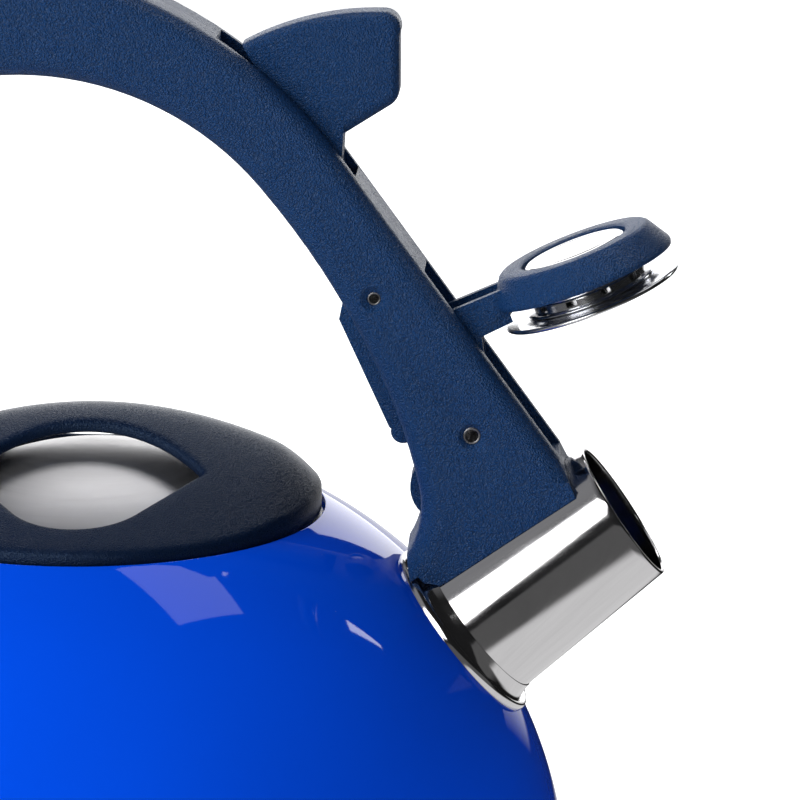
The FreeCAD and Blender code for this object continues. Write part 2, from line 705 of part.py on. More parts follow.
os.makedirs("parts", exist_ok=True)
for name, make in NODES.items():
    shape = make()
    if not shape.isValid():
        raise ValueError(name + " is not a valid shape")
    shape.exportStep("parts/" + name + ".step")
    box = shape.BoundBox
    print("%-20s %9.0f mm3  x %.1f..%.1f  y %.1f..%.1f  z %.1f..%.1f" % (
        name, shape.Volume, box.XMin, box.XMax, box.YMin, box.YMax, box.ZMin, box.ZMax))
print("trigger swing %.2f degrees" % trigger_swing())
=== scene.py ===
import json
import math

import bmesh
import bpy
from bpy.props import FloatProperty, FloatVectorProperty, IntProperty, PointerProperty
from mathutils import Matrix, Vector
from mathutils.geometry import delaunay_2d_cdt


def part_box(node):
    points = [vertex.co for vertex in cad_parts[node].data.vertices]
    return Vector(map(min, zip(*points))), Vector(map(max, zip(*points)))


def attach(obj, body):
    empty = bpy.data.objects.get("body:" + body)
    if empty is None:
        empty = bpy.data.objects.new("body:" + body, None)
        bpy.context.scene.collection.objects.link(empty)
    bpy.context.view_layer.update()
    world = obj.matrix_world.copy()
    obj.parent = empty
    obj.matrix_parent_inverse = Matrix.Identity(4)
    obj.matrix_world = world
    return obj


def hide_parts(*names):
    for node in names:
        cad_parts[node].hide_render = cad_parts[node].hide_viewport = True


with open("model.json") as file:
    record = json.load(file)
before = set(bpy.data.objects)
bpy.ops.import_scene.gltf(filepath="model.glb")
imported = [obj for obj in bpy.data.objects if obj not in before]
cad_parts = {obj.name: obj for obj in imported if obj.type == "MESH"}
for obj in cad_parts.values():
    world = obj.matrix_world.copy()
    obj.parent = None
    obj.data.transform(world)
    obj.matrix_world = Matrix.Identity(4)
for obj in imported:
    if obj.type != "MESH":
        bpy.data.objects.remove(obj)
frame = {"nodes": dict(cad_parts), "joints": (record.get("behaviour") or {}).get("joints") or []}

bl_info = {
    "name": "Whistling kettle",
    "version": (1, 0, 0),
    "blender": (4, 5, 0),
    "location": "3D View > Sidebar > Kettle",
    "description": "Builds the finished surfaces of a stovetop whistling kettle",
    "category": "Object",
}

# ---- places and sizes in metres, from the frame where it gives them -------
MM = 0.001
CAP_PIVOT = Vector(next(joint["pos_m"] for joint in frame["joints"] if joint["name"] == "cap_hinge"))
CAP_SWING = math.radians(77.0)
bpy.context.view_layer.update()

DOME_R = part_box("body_shell")[1].x
BRIM_R = 54.0 * MM
DOME_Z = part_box("body_shell")[1].z - math.sqrt(DOME_R ** 2 - BRIM_R ** 2)
SHOULDER_R = 45 * MM
BODY_WALL = 1.2 * MM
FLOOR_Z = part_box("base_disc")[1].z
LEDGE_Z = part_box("lid_pan")[0].z
SEAT_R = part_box("lid_pan")[1].x + 0.6 * MM
FILL_R = 46 * MM
BASE_R = 90 * MM

SPOUT_MOUTH = Vector((121.1, 0, 134.7)) * MM
SPOUT_RISE = math.radians(38.5)
MOUTH_RISE = math.radians(34.5)
SPOUT_R = 16.9 * MM
SPOUT_TAPER = math.tan(math.radians(2.75))
SPOUT_WALL = 1.0 * MM
SPOUT_BACK = 45.5 * MM
FLANGE_R = 22.5 * MM

KNOB_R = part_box("lid_knob")[1].x
KNOB_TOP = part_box("lid_knob")[1].z
KNOB_WALL = 3.2 * MM
LID_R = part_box("lid_pan")[1].x
LID_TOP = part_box("lid_pan")[1].z
LID_SHEET = 1.0 * MM
CROWN_FOOT = 44.4 * MM
CROWN_RISE = LID_TOP - LEDGE_Z - LID_SHEET
CROWN_R = (CROWN_FOOT ** 2 + CROWN_RISE ** 2) / (2 * CROWN_RISE)
CROWN_Z = LID_TOP - CROWN_R
COLLAR_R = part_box("lid_collar")[1].x
SKIRT_WALL = 0.8 * MM
KNOB_SCREW_TILT = math.radians(32)
INSERT_R = 12.4 * MM
CAP_TOP = 12.8 * MM
DISC_R = 20.8 * MM

SPOUT_FRAME = Matrix.Translation(SPOUT_MOUTH) @ Matrix.Rotation(math.pi / 2 - SPOUT_RISE, 4, "Y")
MOUTH_FRAME = Matrix.Translation(SPOUT_MOUTH) @ Matrix.Rotation(math.pi / 2 - MOUTH_RISE, 4, "Y")
CAP_OPEN = (
    Matrix.Translation(CAP_PIVOT)
    @ Matrix.Rotation(-CAP_SWING, 4, "Y")
    @ Matrix.Translation(-CAP_PIVOT)
)
CAP_FRAME = CAP_OPEN @ MOUTH_FRAME


# ---- sizes and colours that a user would change --------------------------
class BodySettings(bpy.types.PropertyGroup):
    enamel: FloatVectorProperty(
        name="Enamel", description="Colour of the glossy enamel",
        subtype="COLOR", size=3, min=0, max=1, default=(0.0003, 0.070, 0.74),
    )
    steel: FloatVectorProperty(
        name="Steel", description="Colour of the bare steel",
        subtype="COLOR", size=3, min=0, max=1, default=(0.74, 0.73, 0.74),
    )
    hole_radius: FloatProperty(
        name="Strainer hole", description="Radius of one strainer hole behind the spout",
        subtype="DISTANCE", unit="LENGTH", default=0.0035,
    )
    hole_pitch: FloatProperty(
        name="Strainer pitch", description="Distance between strainer holes",
        subtype="DISTANCE", unit="LENGTH", default=0.009,
    )


class PlasticSettings(bpy.types.PropertyGroup):
    navy: FloatVectorProperty(
        name="Navy", description="Colour of the handle, lever and cap",
        subtype="COLOR", size=3, min=0, max=1, default=(0.006, 0.037, 0.126),
    )
    black: FloatVectorProperty(
        name="Near black", description="Colour of the lid's knob",
        subtype="COLOR", size=3, min=0, max=1, default=(0.0015, 0.007, 0.026),
    )
    grain_size: FloatProperty(
        name="Grain size", description="Width of one pebble of the moulded grain",
        subtype="DISTANCE", unit="LENGTH", default=0.00040,
    )
    edge: FloatProperty(
        name="Edge", description="Rounding along the moulded edges",
        subtype="DISTANCE", unit="LENGTH", default=0.0003,
    )


class WhistleSettings(bpy.types.PropertyGroup):
    slots: IntProperty(
        name="Slots", description="Number of slots around the whistle's cup",
        min=4, max=24, default=10,
    )
    disc_edge: FloatProperty(
        name="Disc edge", description="Rounding at the rim of the closing plate",
        subtype="DISTANCE", unit="LENGTH", default=0.0004,
    )


# ---- mesh helpers ---------------------------------------------------------
def linked(name, data):
    """A new object in the scene."""
    piece = bpy.data.objects.new(name, data)
    bpy.context.scene.collection.objects.link(piece)
    return piece


def keep(name, mesh, crease, slot, body, *nodes):
    """Makes a finished piece, smooth but for the edges that turn by more than
    its crease angle in degrees, hangs it under its body's empty and hides the frame parts that it stands
    for."""
    mesh.shade_smooth()
    mesh.set_sharp_from_angle(angle=math.radians(crease))
    mesh.materials.clear()
    mesh.materials.append(MATERIALS[slot])
    piece = linked(name, mesh)
    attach(piece, body)
    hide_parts(*nodes)


def mesh_of(name, verts, faces):
    """A mesh with its doubles merged and its faces pointing outwards."""
    mesh = bpy.data.meshes.new(name)
    mesh.from_pydata(verts, [], faces)
    bm = bmesh.new()
    bm.from_mesh(mesh)
    bmesh.ops.remove_doubles(bm, verts=bm.verts, dist=1e-7)
    bmesh.ops.recalc_face_normals(bm, faces=bm.faces)
    bm.to_mesh(mesh)
    bm.free()
    return mesh


def in_mm(corners):
    """Corners given in millimetres, in metres."""
    return [tuple(value * MM for value in corner) for corner in corners]


def soften(corners, steps=5):
    """A polyline through (radius, height, rounding) corners, each corner
    replaced by a smooth turn of that size.  A rounding of 0 stays sharp."""
    out = []
    for k, (x, z, size) in enumerate(corners):
        here = Vector((x, z))
        if size == 0 or k in (0, len(corners) - 1):
            out.append(here)
            continue
        before = Vector(corners[k - 1][:2]) - here
        after = Vector(corners[k + 1][:2]) - here
        reach = min(size, 0.49 * before.length, 0.49 * after.length)
        start, end = here + before.normalized() * reach, here + after.normalized() * reach
        for step in range(steps + 1):
            t = step / steps
            out.append(start * (1 - t) ** 2 + here * 2 * t * (1 - t) + end * t ** 2)
    return [(p.x, p.y) for p in out]


def closed(corners, steps=5):
    """The same for a closed outline: the first corner is rounded too."""
    ring = [corners[-1]] + list(corners) + [corners[0]]
    points = soften(ring, steps)[1:-1]
    return points + points[:1]


def arc(centre_r, centre_z, radius, start, end, steps):
    """Points along an arc in the (radius, height) plane, angles in degrees."""
    out = []
    for k in range(steps + 1):
        a = math.radians(start + (end - start) * k / steps)
        out.append((centre_r + radius * math.cos(a), centre_z + radius * math.sin(a)))
    return out


def turned(name, profile, place=Matrix(), around=192):
    """A surface of revolution about Z from (radius, height) points, carried
    by a placing matrix."""
    verts, faces = [], []
    profile = [(0.0 if radius < 1e-8 else radius, height) for radius, height in profile]
    for k in range(around):
        a = 2 * math.pi * k / around
        for radius, height in profile:
            verts.append(place @ Vector((radius * math.cos(a), radius * math.sin(a), height)))
    count = len(profile)
    for k in range(around):
        here, there = k * count, (k + 1) % around * count
        for i in range(count - 1):
            quad = [here + i, there + i, there + i + 1, here + i + 1]
            if profile[i][0] == 0:
                quad.pop(1)
            elif profile[i + 1][0] == 0:
                quad.pop(2)
            faces.append(quad)
    return mesh_of(name, verts, faces)


def joined(name, meshes):
    """Several meshes as one."""
    bm = bmesh.new()
    for mesh in meshes:
        bm.from_mesh(mesh)
    out = bpy.data.meshes.new(name)
    bm.to_mesh(out)
    bm.free()
    return out


def result_of(piece):
    """The piece's mesh with its modifiers applied, which are then removed."""
    graph = bpy.context.evaluated_depsgraph_get()
    graph.update()
    mesh = bpy.data.meshes.new_from_object(piece.evaluated_get(graph), depsgraph=graph)
    piece.modifiers.clear()
    return mesh


# ---- node helpers ---------------------------------------------------------
class Nodes:
    """A short way to write node trees: make a node, set it up, link it."""

    def __init__(self, tree):
        self.tree = tree

    def add(self, kind, **values):
        node = self.tree.nodes.new(kind)
        for key, value in values.items():
            setattr(node, key, value)
        return node

    def link(self, source, target):
        self.tree.links.new(source, target)

    def put(self, socket, given):
        """Links an output to a socket, or sets the socket's value."""
        if isinstance(given, bpy.types.NodeSocket):
            self.link(given, socket)
        else:
            socket.default_value = given

    def value(self, node, **inputs):
        """Sets or links a node's inputs, by name with _ for a space."""
        for key, given in inputs.items():
            self.put(node.inputs[key.replace("_", " ")], given)
        return node

    def math(self, operation, a, b=0.0, clamp=False):
        node = self.add("ShaderNodeMath", operation=operation, use_clamp=clamp)
        self.put(node.inputs[0], a)
        self.put(node.inputs[1], b)
        return node.outputs[0]

    def plus(self, a, b):
        return self.math("ADD", a, b)

    def times(self, a, b):
        return self.math("MULTIPLY", a, b)

    def vector(self, x=0.0, y=0.0, z=0.0):
        node = self.add("ShaderNodeCombineXYZ")
        for socket, given in zip(node.inputs, (x, y, z)):
            self.put(socket, given)
        return node.outputs[0]

    def split(self, vector):
        """The X, Y and Z of a vector."""
        node = self.add("ShaderNodeSeparateXYZ")
        self.link(vector, node.inputs[0])
        return node.outputs

    def scaled(self, vector, factors):
        node = self.add("ShaderNodeVectorMath", operation="MULTIPLY")
        self.link(vector, node.inputs[0])
        node.inputs[1].default_value = factors
        return node.outputs[0]

    def noise(self, vector, scale, detail=2.0, roughness=0.5):
        node = self.add("ShaderNodeTexNoise")
        self.value(node, Vector=vector, Scale=scale, Detail=detail, Roughness=roughness)
        return node.outputs["Fac"]

    def spread(self, value, low, high, to_low, to_high):
        node = self.add("ShaderNodeMapRange", clamp=True)
        self.value(node, Value=value, From_Min=low, From_Max=high, To_Min=to_low, To_Max=to_high)
        return node.outputs["Result"]

    def blend(self, factor, a, b):
        node = self.add("ShaderNodeMix", data_type="RGBA")
        for index, given in ((0, factor), (6, a), (7, b)):
            self.put(node.inputs[index], given)
        return node.outputs[2]


FLOAT, VECTOR, WHOLE = "NodeSocketFloat", "NodeSocketVector", "NodeSocketInt"
TURN, MATERIAL, GEOMETRY = "NodeSocketRotation", "NodeSocketMaterial", "NodeSocketGeometry"


def new_group(kind, name, inputs, outputs):
    """An empty node group, with what it is given and what it puts out.  Each
    socket comes as its label, its type and, where it has one, its default."""
    tree = bpy.data.node_groups.new(name, kind)
    for direction, sockets in (("INPUT", inputs), ("OUTPUT", outputs)):
        for label, socket_type, *default in sockets:
            socket = tree.interface.new_socket(name=label, in_out=direction, socket_type=socket_type)
            if default:
                socket.default_value = default[0]
    n = Nodes(tree)
    return tree, n, n.add("NodeGroupInput").outputs, n.add("NodeGroupOutput").inputs


def moulded_grain_group():
    """Pebbled leather-like grain of a mould: a height, and the same as a
    mask of the pebbles' tops."""
    tree, n, given, out = new_group(
        "ShaderNodeTree", "Moulded grain",
        [("Vector", VECTOR), ("Pebble Size", FLOAT, 0.0006), ("Unevenness", FLOAT, 0.3)],
        [("Height", FLOAT), ("Tops", FLOAT)],
    )
    place, size = given["Vector"], given["Pebble Size"]
    scale = n.math("DIVIDE", 1.0, size)
    wobble = n.add("ShaderNodeTexNoise")
    n.value(wobble, Vector=place, Scale=n.times(scale, 0.45), Detail=1.0)
    push = n.add("ShaderNodeVectorMath", operation="SCALE")
    n.link(wobble.outputs["Color"], push.inputs[0])
    n.link(n.times(size, 1.1), push.inputs["Scale"])
    moved = n.add("ShaderNodeVectorMath", operation="ADD")
    n.link(place, moved.inputs[0])
    n.link(push.outputs[0], moved.inputs[1])
    cells = n.add("ShaderNodeTexVoronoi", feature="SMOOTH_F1")
    n.value(cells, Vector=moved.outputs[0], Scale=scale, Smoothness=0.3)
    tops = n.math("SUBTRACT", 1.0, cells.outputs["Distance"], clamp=True)
    broad = n.noise(place, 160.0, 2.0)
    uneven = n.times(n.math("SUBTRACT", broad, 0.5), given["Unevenness"])
    n.link(n.plus(tops, uneven), out["Height"])
    n.link(n.spread(tops, 0.35, 0.8, 0.0, 1.0), out["Tops"])
    return tree


def polish_lines_group():
    """Fine parallel scratches of a polishing wheel.  The vector's X runs
    across the lines and its Y along them."""
    tree, n, given, out = new_group(
        "ShaderNodeTree", "Polish lines",
        [("Vector", VECTOR), ("Across", FLOAT, 4000.0), ("Along", FLOAT, 40.0)],
        [("Height", FLOAT), ("Streaks", FLOAT)],
    )
    place = n.split(given["Vector"])
    across = n.times(place["X"], given["Across"])
    along = n.times(place["Y"], given["Along"])
    stretched = n.vector(across, along)
    fine = n.noise(stretched, 1.0, 3.0, 0.65)
    broad = n.noise(n.scaled(stretched, (0.13, 0.5, 1.0)), 1.0, 1.0)
    n.link(fine, out["Height"])
    n.link(n.times(n.plus(fine, broad), 0.5), out["Streaks"])
    return tree


def handling_marks_group():
    """Faint smears from hands and specks of dust, both as masks."""
    tree, n, given, out = new_group(
        "ShaderNodeTree", "Handling marks",
        [("Vector", VECTOR), ("Smears", FLOAT, 0.5), ("Specks", FLOAT, 0.5)],
        [("Smear", FLOAT), ("Speck", FLOAT)],
    )
    place = given["Vector"]
    smear = n.spread(n.noise(place, 28.0, 4.0, 0.6), 0.48, 0.72, 0.0, 1.0)
    n.link(n.times(smear, given["Smears"]), out["Smear"])
    cells = n.add("ShaderNodeTexVoronoi")
    n.value(cells, Vector=place, Scale=260.0)
    near = n.spread(cells.outputs["Distance"], 0.03, 0.06, 1.0, 0.0)
    rare = n.math("GREATER_THAN", n.split(cells.outputs["Color"])["X"], 0.93)
    n.link(n.times(n.times(near, rare), given["Specks"]), out["Speck"])
    return tree


def group_node(n, tree, **inputs):
    """Places a group in a material, and gives back what it puts out."""
    node = n.add("ShaderNodeGroup")
    node.node_tree = tree
    return n.value(node, **inputs).outputs


# ---- materials ------------------------------------------------------------
ENAMEL_DUST = (0.30, 0.35, 0.50, 1)
PLASTIC_DUST = (0.25, 0.28, 0.34, 1)
STEEL_PITS = (0.12, 0.11, 0.11, 1)
ZINC_DARK, ZINC_PALE = (0.34, 0.34, 0.36, 1), (0.62, 0.61, 0.60, 1)


def new_material(name):
    """A material with its surface shader, and the point on the object."""
    material = bpy.data.materials.new(name)
    material.use_nodes = True
    n = Nodes(material.node_tree)
    shader = material.node_tree.nodes["Principled BSDF"]
    place = n.add("ShaderNodeTexCoord").outputs["Object"]
    return material, n, shader, place


def bump(n, shader, height, strength, distance):
    node = n.add("ShaderNodeBump")
    n.value(node, Height=height, Strength=strength, Distance=distance)
    n.link(node.outputs["Normal"], shader.inputs["Normal"])


def colour(values, share=1.0):
    """A base colour made darker or lighter by a share, for a socket."""
    return (*(share * value for value in values), 1.0)


def smeared(n, rough, marks, change):
    """A roughness that changes where hands have left smears."""
    return n.plus(rough, n.times(marks["Smear"], change))


def enamel_material(groups, base):
    """Deep gloss enamel: clear coat over colour, with the slight wave that
    fired enamel has, and faint smears."""
    material, n, shader, place = new_material("Blue enamel")
    marks = group_node(n, groups["marks"], Vector=place, Smears=0.5, Specks=0.5)
    tone = n.spread(n.noise(place, 9.0, 2.0), 0.35, 0.65, 0.0, 1.0)
    shade = n.blend(tone, colour(base, 0.90), colour(base))
    dusty = n.blend(n.times(marks["Speck"], 0.5), shade, ENAMEL_DUST)
    n.value(
        shader, Base_Color=dusty, Roughness=smeared(n, 0.035, marks, 0.035),
        Coat_Weight=0.15, Coat_Roughness=0.02, Specular_IOR_Level=0.5,
    )
    bump(n, shader, n.noise(place, 22.0, 1.0), 0.10, 0.0006)
    return material


def spout_steel_material(groups, base):
    """Polished steel with fine lines along the spout."""
    material, n, shader, place = new_material("Polished spout steel")
    upright = n.add("ShaderNodeMapping", vector_type="POINT")
    n.value(upright, Vector=place, Rotation=(0, -(math.pi / 2 - SPOUT_RISE), 0))
    axes = n.split(upright.outputs[0])
    lines_at = n.vector(axes["Y"], axes["Z"])
    lines = group_node(n, groups["lines"], Vector=lines_at, Across=5200.0, Along=90.0)
    marks = group_node(n, groups["marks"], Vector=place, Smears=0.6, Specks=0.7)
    tone = n.blend(lines["Streaks"], colour(base, 0.86), colour(base, 1.12))
    tone = n.blend(marks["Speck"], tone, STEEL_PITS)
    rough = smeared(n, n.spread(lines["Streaks"], 0.3, 0.7, 0.07, 0.13), marks, 0.07)
    n.value(shader, Base_Color=tone, Metallic=1.0, Roughness=rough)
    bump(n, shader, lines["Height"], 0.05, 0.0001)
    return material


def spun_steel_material(groups, name, base, low, high):
    """Satin steel with the rings that turning leaves about the upright axis,
    and a roughness between two limits."""
    material, n, shader, place = new_material(name)
    axes = n.split(place)
    square = n.plus(n.math("POWER", axes["X"], 2.0), n.math("POWER", axes["Y"], 2.0))
    lines_at = n.vector(n.math("SQRT", square), n.math("ARCTAN2", axes["Y"], axes["X"]))
    lines = group_node(n, groups["lines"], Vector=lines_at, Across=5200.0, Along=2.0)
    marks = group_node(n, groups["marks"], Vector=place, Smears=0.7, Specks=0.4)
    tone = n.blend(lines["Streaks"], colour(base, 0.85), colour(base, 1.1))
    rough = smeared(n, n.spread(lines["Streaks"], 0.3, 0.7, low, high), marks, 0.08)
    n.value(shader, Base_Color=tone, Metallic=1.0, Roughness=rough)
    bump(n, shader, lines["Height"], 0.12, 0.0001)
    return material


def bright_steel_material(groups, name, base, rough, wave_height):
    """Mirror-bright plating, very slightly uneven, with a few smears."""
    material, n, shader, place = new_material(name)
    small = n.scaled(place, (4.0, 4.0, 4.0))
    marks = group_node(n, groups["marks"], Vector=small, Smears=1.0, Specks=0.3)
    tone = n.blend(marks["Smear"], colour(base), colour(base, 0.7))
    n.value(shader, Base_Color=tone, Metallic=1.0, Roughness=smeared(n, rough, marks, 0.06))
    bump(n, shader, n.noise(place, 130.0, 2.0), 0.35, wave_height)
    return material


def screw_steel_material():
    """Zinc-plated steel with a cloudy bloom."""
    material, n, shader, place = new_material("Screw steel")
    cloud = n.noise(place, 900.0, 3.0)
    tone = n.blend(cloud, ZINC_DARK, ZINC_PALE)
    n.value(shader, Base_Color=tone, Metallic=1.0, Roughness=n.spread(cloud, 0.3, 0.7, 0.22, 0.42))
    bump(n, shader, cloud, 0.1, 0.00005)
    return material


def plastic_material(groups, name, base, grain, depth, low, high, gleam):
    """Moulded plastic: the grain's pebble tops get a painted highlight, a lighter base colour,
    and the hollows between them painted shade, a darker base colour.  The gleam tints its gloss."""
    material, n, shader, place = new_material(name)
    pebbles = group_node(n, groups["grain"], Vector=place, Pebble_Size=grain, Unevenness=0.06)
    marks = group_node(n, groups["marks"], Vector=place, Smears=0.12, Specks=0.35)
    # Painted highlight on the pebble tops and painted shade in the hollows between them.
    shade = n.blend(pebbles["Tops"], colour(base, 0.74), colour(base, 1.22))
    worn = colour([min(1.0, 1.6 * value + 0.01) for value in base])
    shade = n.blend(n.times(marks["Smear"], 0.35), shade, worn)
    shade = n.blend(n.times(marks["Speck"], 0.5), shade, PLASTIC_DUST)
    rough = smeared(n, n.spread(pebbles["Tops"], 0.0, 1.0, high, low), marks, -0.05)
    n.value(
        shader, Base_Color=shade, Roughness=rough, Specular_IOR_Level=0.45,
        Specular_Tint=colour(gleam),
    )
    bump(n, shader, pebbles["Height"], 1.0, depth)
    return material


def make_materials(settings):
    """Every finish of the kettle, by the name of its slot."""
    groups = {
        "grain": moulded_grain_group(),
        "lines": polish_lines_group(),
        "marks": handling_marks_group(),
    }
    body, plastic = settings.kettle_body, settings.kettle_plastic
    steel, grain = list(body.steel), plastic.grain_size
    lid, base = [1.1 * value for value in steel], [0.8 * value for value in steel]
    return {
        "blue_enamel": enamel_material(groups, list(body.enamel)),
        "spout_steel": spout_steel_material(groups, steel),
        "lid_steel": spun_steel_material(groups, "Satin lid steel", lid, 0.44, 0.54),
        "base_steel": spun_steel_material(groups, "Base steel", base, 0.30, 0.45),
        "mirror_steel": bright_steel_material(groups, "Mirror steel", (0.86, 0.86, 0.87), 0.04, 0.0004),
        "whistle_steel": bright_steel_material(groups, "Whistle steel", (0.86, 0.87, 0.90), 0.16, 0.0002),
        "screw_steel": screw_steel_material(),
        "navy_plastic": plastic_material(
            groups, "Navy plastic", list(plastic.navy), grain, 0.00036, 0.26, 0.42, (0.72, 0.86, 1.0),
        ),
        "black_plastic": plastic_material(
            groups, "Near-black plastic", list(plastic.black), 0.8 * grain, 0.00012, 0.24, 0.34,
            (0.45, 0.66, 1.0),
        ),
    }


MATERIALS = {}


# ---- geometry-node trees for what repeats ---------------------------------
def geometry_tree(name, inputs):
    return new_group(
        "GeometryNodeTree", name, [("Geometry", GEOMETRY), *inputs, ("Material", MATERIAL)],
        [("Geometry", GEOMETRY)],
    )


def finish_tree(n, geometry, given, out):
    """Every tree ends in Realize Instances and Set Material."""
    real = n.add("GeometryNodeRealizeInstances")
    n.link(geometry, real.inputs[0])
    painted = n.add("GeometryNodeSetMaterial")
    n.link(real.outputs[0], painted.inputs["Geometry"])
    n.link(given["Material"], painted.inputs["Material"])
    n.link(painted.outputs[0], out[0])


def shifted(n, geometry, offset):
    node = n.add("GeometryNodeTransform")
    n.value(node, Geometry=geometry, Translation=offset)
    return node.outputs[0]


def cylinder(n, radius, depth, sides):
    node = n.add("GeometryNodeMeshCylinder")
    n.value(node, Vertices=sides, Radius=radius, Depth=depth)
    return node.outputs["Mesh"]


def ring_of_points(n, count, radius):
    node = n.add("GeometryNodeMeshCircle")
    n.value(node, Vertices=count, Radius=radius)
    return node.outputs["Mesh"]


def on_points(n, points, instance, turn=None):
    """A copy of the instance on each point."""
    node = n.add("GeometryNodeInstanceOnPoints")
    n.value(node, Points=points, Instance=instance)
    if turn:
        n.link(turn, node.inputs["Rotation"])
    return node.outputs[0]


def cut_out(n, cutters, given, out):
    """Carries the cutters to the tree's centre and turn, and cuts them out of
    the mesh that it is given."""
    real = n.add("GeometryNodeRealizeInstances")
    n.link(cutters, real.inputs[0])
    move = n.add("GeometryNodeTransform")
    n.value(
        move, Geometry=real.outputs[0], Translation=given["Centre"],
        Rotation=given["Turn"],
    )
    cut = n.add("GeometryNodeMeshBoolean", operation="DIFFERENCE")
    n.link(given["Geometry"], cut.inputs["Mesh 1"])
    n.link(move.outputs[0], cut.inputs["Mesh 2"])
    finish_tree(n, cut.outputs["Mesh"], given, out)


def screw_tree():
    """A cross-recessed screw on every point it is given, its head's top at
    the point and its shank along the given turn's minus Z."""
    tree, n, given, out = geometry_tree("Screws", [
        ("Head Radius", FLOAT, 0.003), ("Head Height", FLOAT, 0.0018),
        ("Shank Radius", FLOAT, 0.0015), ("Length", FLOAT, 0.012), ("Turn", TURN),
    ])
    head_radius, head_height = given["Head Radius"], given["Head Height"]
    length = given["Length"]
    head = cylinder(n, head_radius, head_height, 40)
    crown = n.add("GeometryNodeMeshCone")
    crown_height = n.times(head_height, 0.3)
    n.value(
        crown, Vertices=40, Radius_Top=n.times(head_radius, 0.74), Radius_Bottom=head_radius,
        Depth=crown_height,
    )
    crown_low = n.vector(z=n.times(crown_height, -1.0))
    head_low = n.times(n.plus(n.times(head_height, 0.5), crown_height), -1.0)
    cuts = n.add("GeometryNodeJoinGeometry")
    long_side, short_side = n.times(head_radius, 1.1), n.times(head_radius, 0.28)
    deep = n.times(head_height, 1.3)
    for wide, narrow in ((long_side, short_side), (short_side, long_side)):
        blade = n.add("GeometryNodeMeshCube")
        n.link(n.vector(wide, narrow, deep), blade.inputs["Size"])
        n.link(blade.outputs["Mesh"], cuts.inputs[0])
    union = n.add("GeometryNodeMeshBoolean", operation="UNION")
    n.link(shifted(n, crown.outputs["Mesh"], crown_low), union.inputs["Mesh 2"])
    n.link(shifted(n, head, n.vector(z=head_low)), union.inputs["Mesh 2"])
    shank = cylinder(n, given["Shank Radius"], length, 24)
    shank_low = n.math("SUBTRACT", n.times(length, -0.5), head_height)
    n.link(shifted(n, shank, n.vector(z=shank_low)), union.inputs["Mesh 2"])
    recess = n.add("GeometryNodeMeshBoolean", operation="DIFFERENCE")
    n.link(union.outputs["Mesh"], recess.inputs["Mesh 1"])
    n.link(cuts.outputs[0], recess.inputs["Mesh 2"])
    screws = on_points(n, given["Geometry"], recess.outputs["Mesh"], given["Turn"])
    finish_tree(n, screws, given, out)
    return tree


def perforation_tree():
    """Cuts a round hole through the mesh at a middle point and at a ring of
    points about it, all along one direction."""
    tree, n, given, out = geometry_tree("Perforations", [
        ("Hole Radius", FLOAT, 0.0035), ("Pitch", FLOAT, 0.009), ("Count", WHOLE, 6),
        ("Drill Length", FLOAT, 0.016), ("Centre", VECTOR), ("Turn", TURN),
    ])
    points = n.add("GeometryNodeJoinGeometry")
    n.link(ring_of_points(n, given["Count"], given["Pitch"]), points.inputs[0])
    middle = n.add("GeometryNodeMeshLine")
    n.value(middle, Count=1)
    n.link(middle.outputs["Mesh"], points.inputs[0])
    drill = cylinder(n, given["Hole Radius"], given["Drill Length"], 40)
    cut_out(n, on_points(n, points.outputs[0], drill), given, out)
    return tree


def slot_ring_tree():
    """Cuts a ring of narrow slots through the wall of a round cup that
    stands on the XY plane."""
    tree, n, given, out = geometry_tree("Slot ring", [
        ("Count", WHOLE, 10), ("Ring Radius", FLOAT, 0.013), ("Height", FLOAT, 0.0031),
        ("Slot", VECTOR), ("Centre", VECTOR), ("Turn", TURN),
    ])
    ring = ring_of_points(n, given["Count"], given["Ring Radius"])
    raised = shifted(n, ring, n.vector(z=given["Height"]))
    block = n.add("GeometryNodeMeshCube")
    n.link(given["Slot"], block.inputs["Size"])
    outward = n.scaled(n.add("GeometryNodeInputPosition").outputs[0], (1, 1, 0))
    facing = n.add("FunctionNodeAlignRotationToVector", axis="X")
    n.link(outward, facing.inputs["Vector"])
    cut_out(n, on_points(n, raised, block.outputs["Mesh"], facing.outputs[0]), given, out)
    return tree


def run_tree(name, mesh, tree, slot, **values):
    """Puts a mesh through a tree and gives back the plain mesh."""
    values["Material"] = MATERIALS[slot]
    piece = linked(name, mesh)
    modifier = piece.modifiers.new("Tree", "NODES")
    modifier.node_group = tree
    for item in tree.interface.items_tree:
        key = item.name.replace(" ", "_")
        if item.in_out == "INPUT" and key in values:
            modifier[item.identifier] = values[key]
    result = result_of(piece)
    bpy.data.objects.remove(piece)
    return result


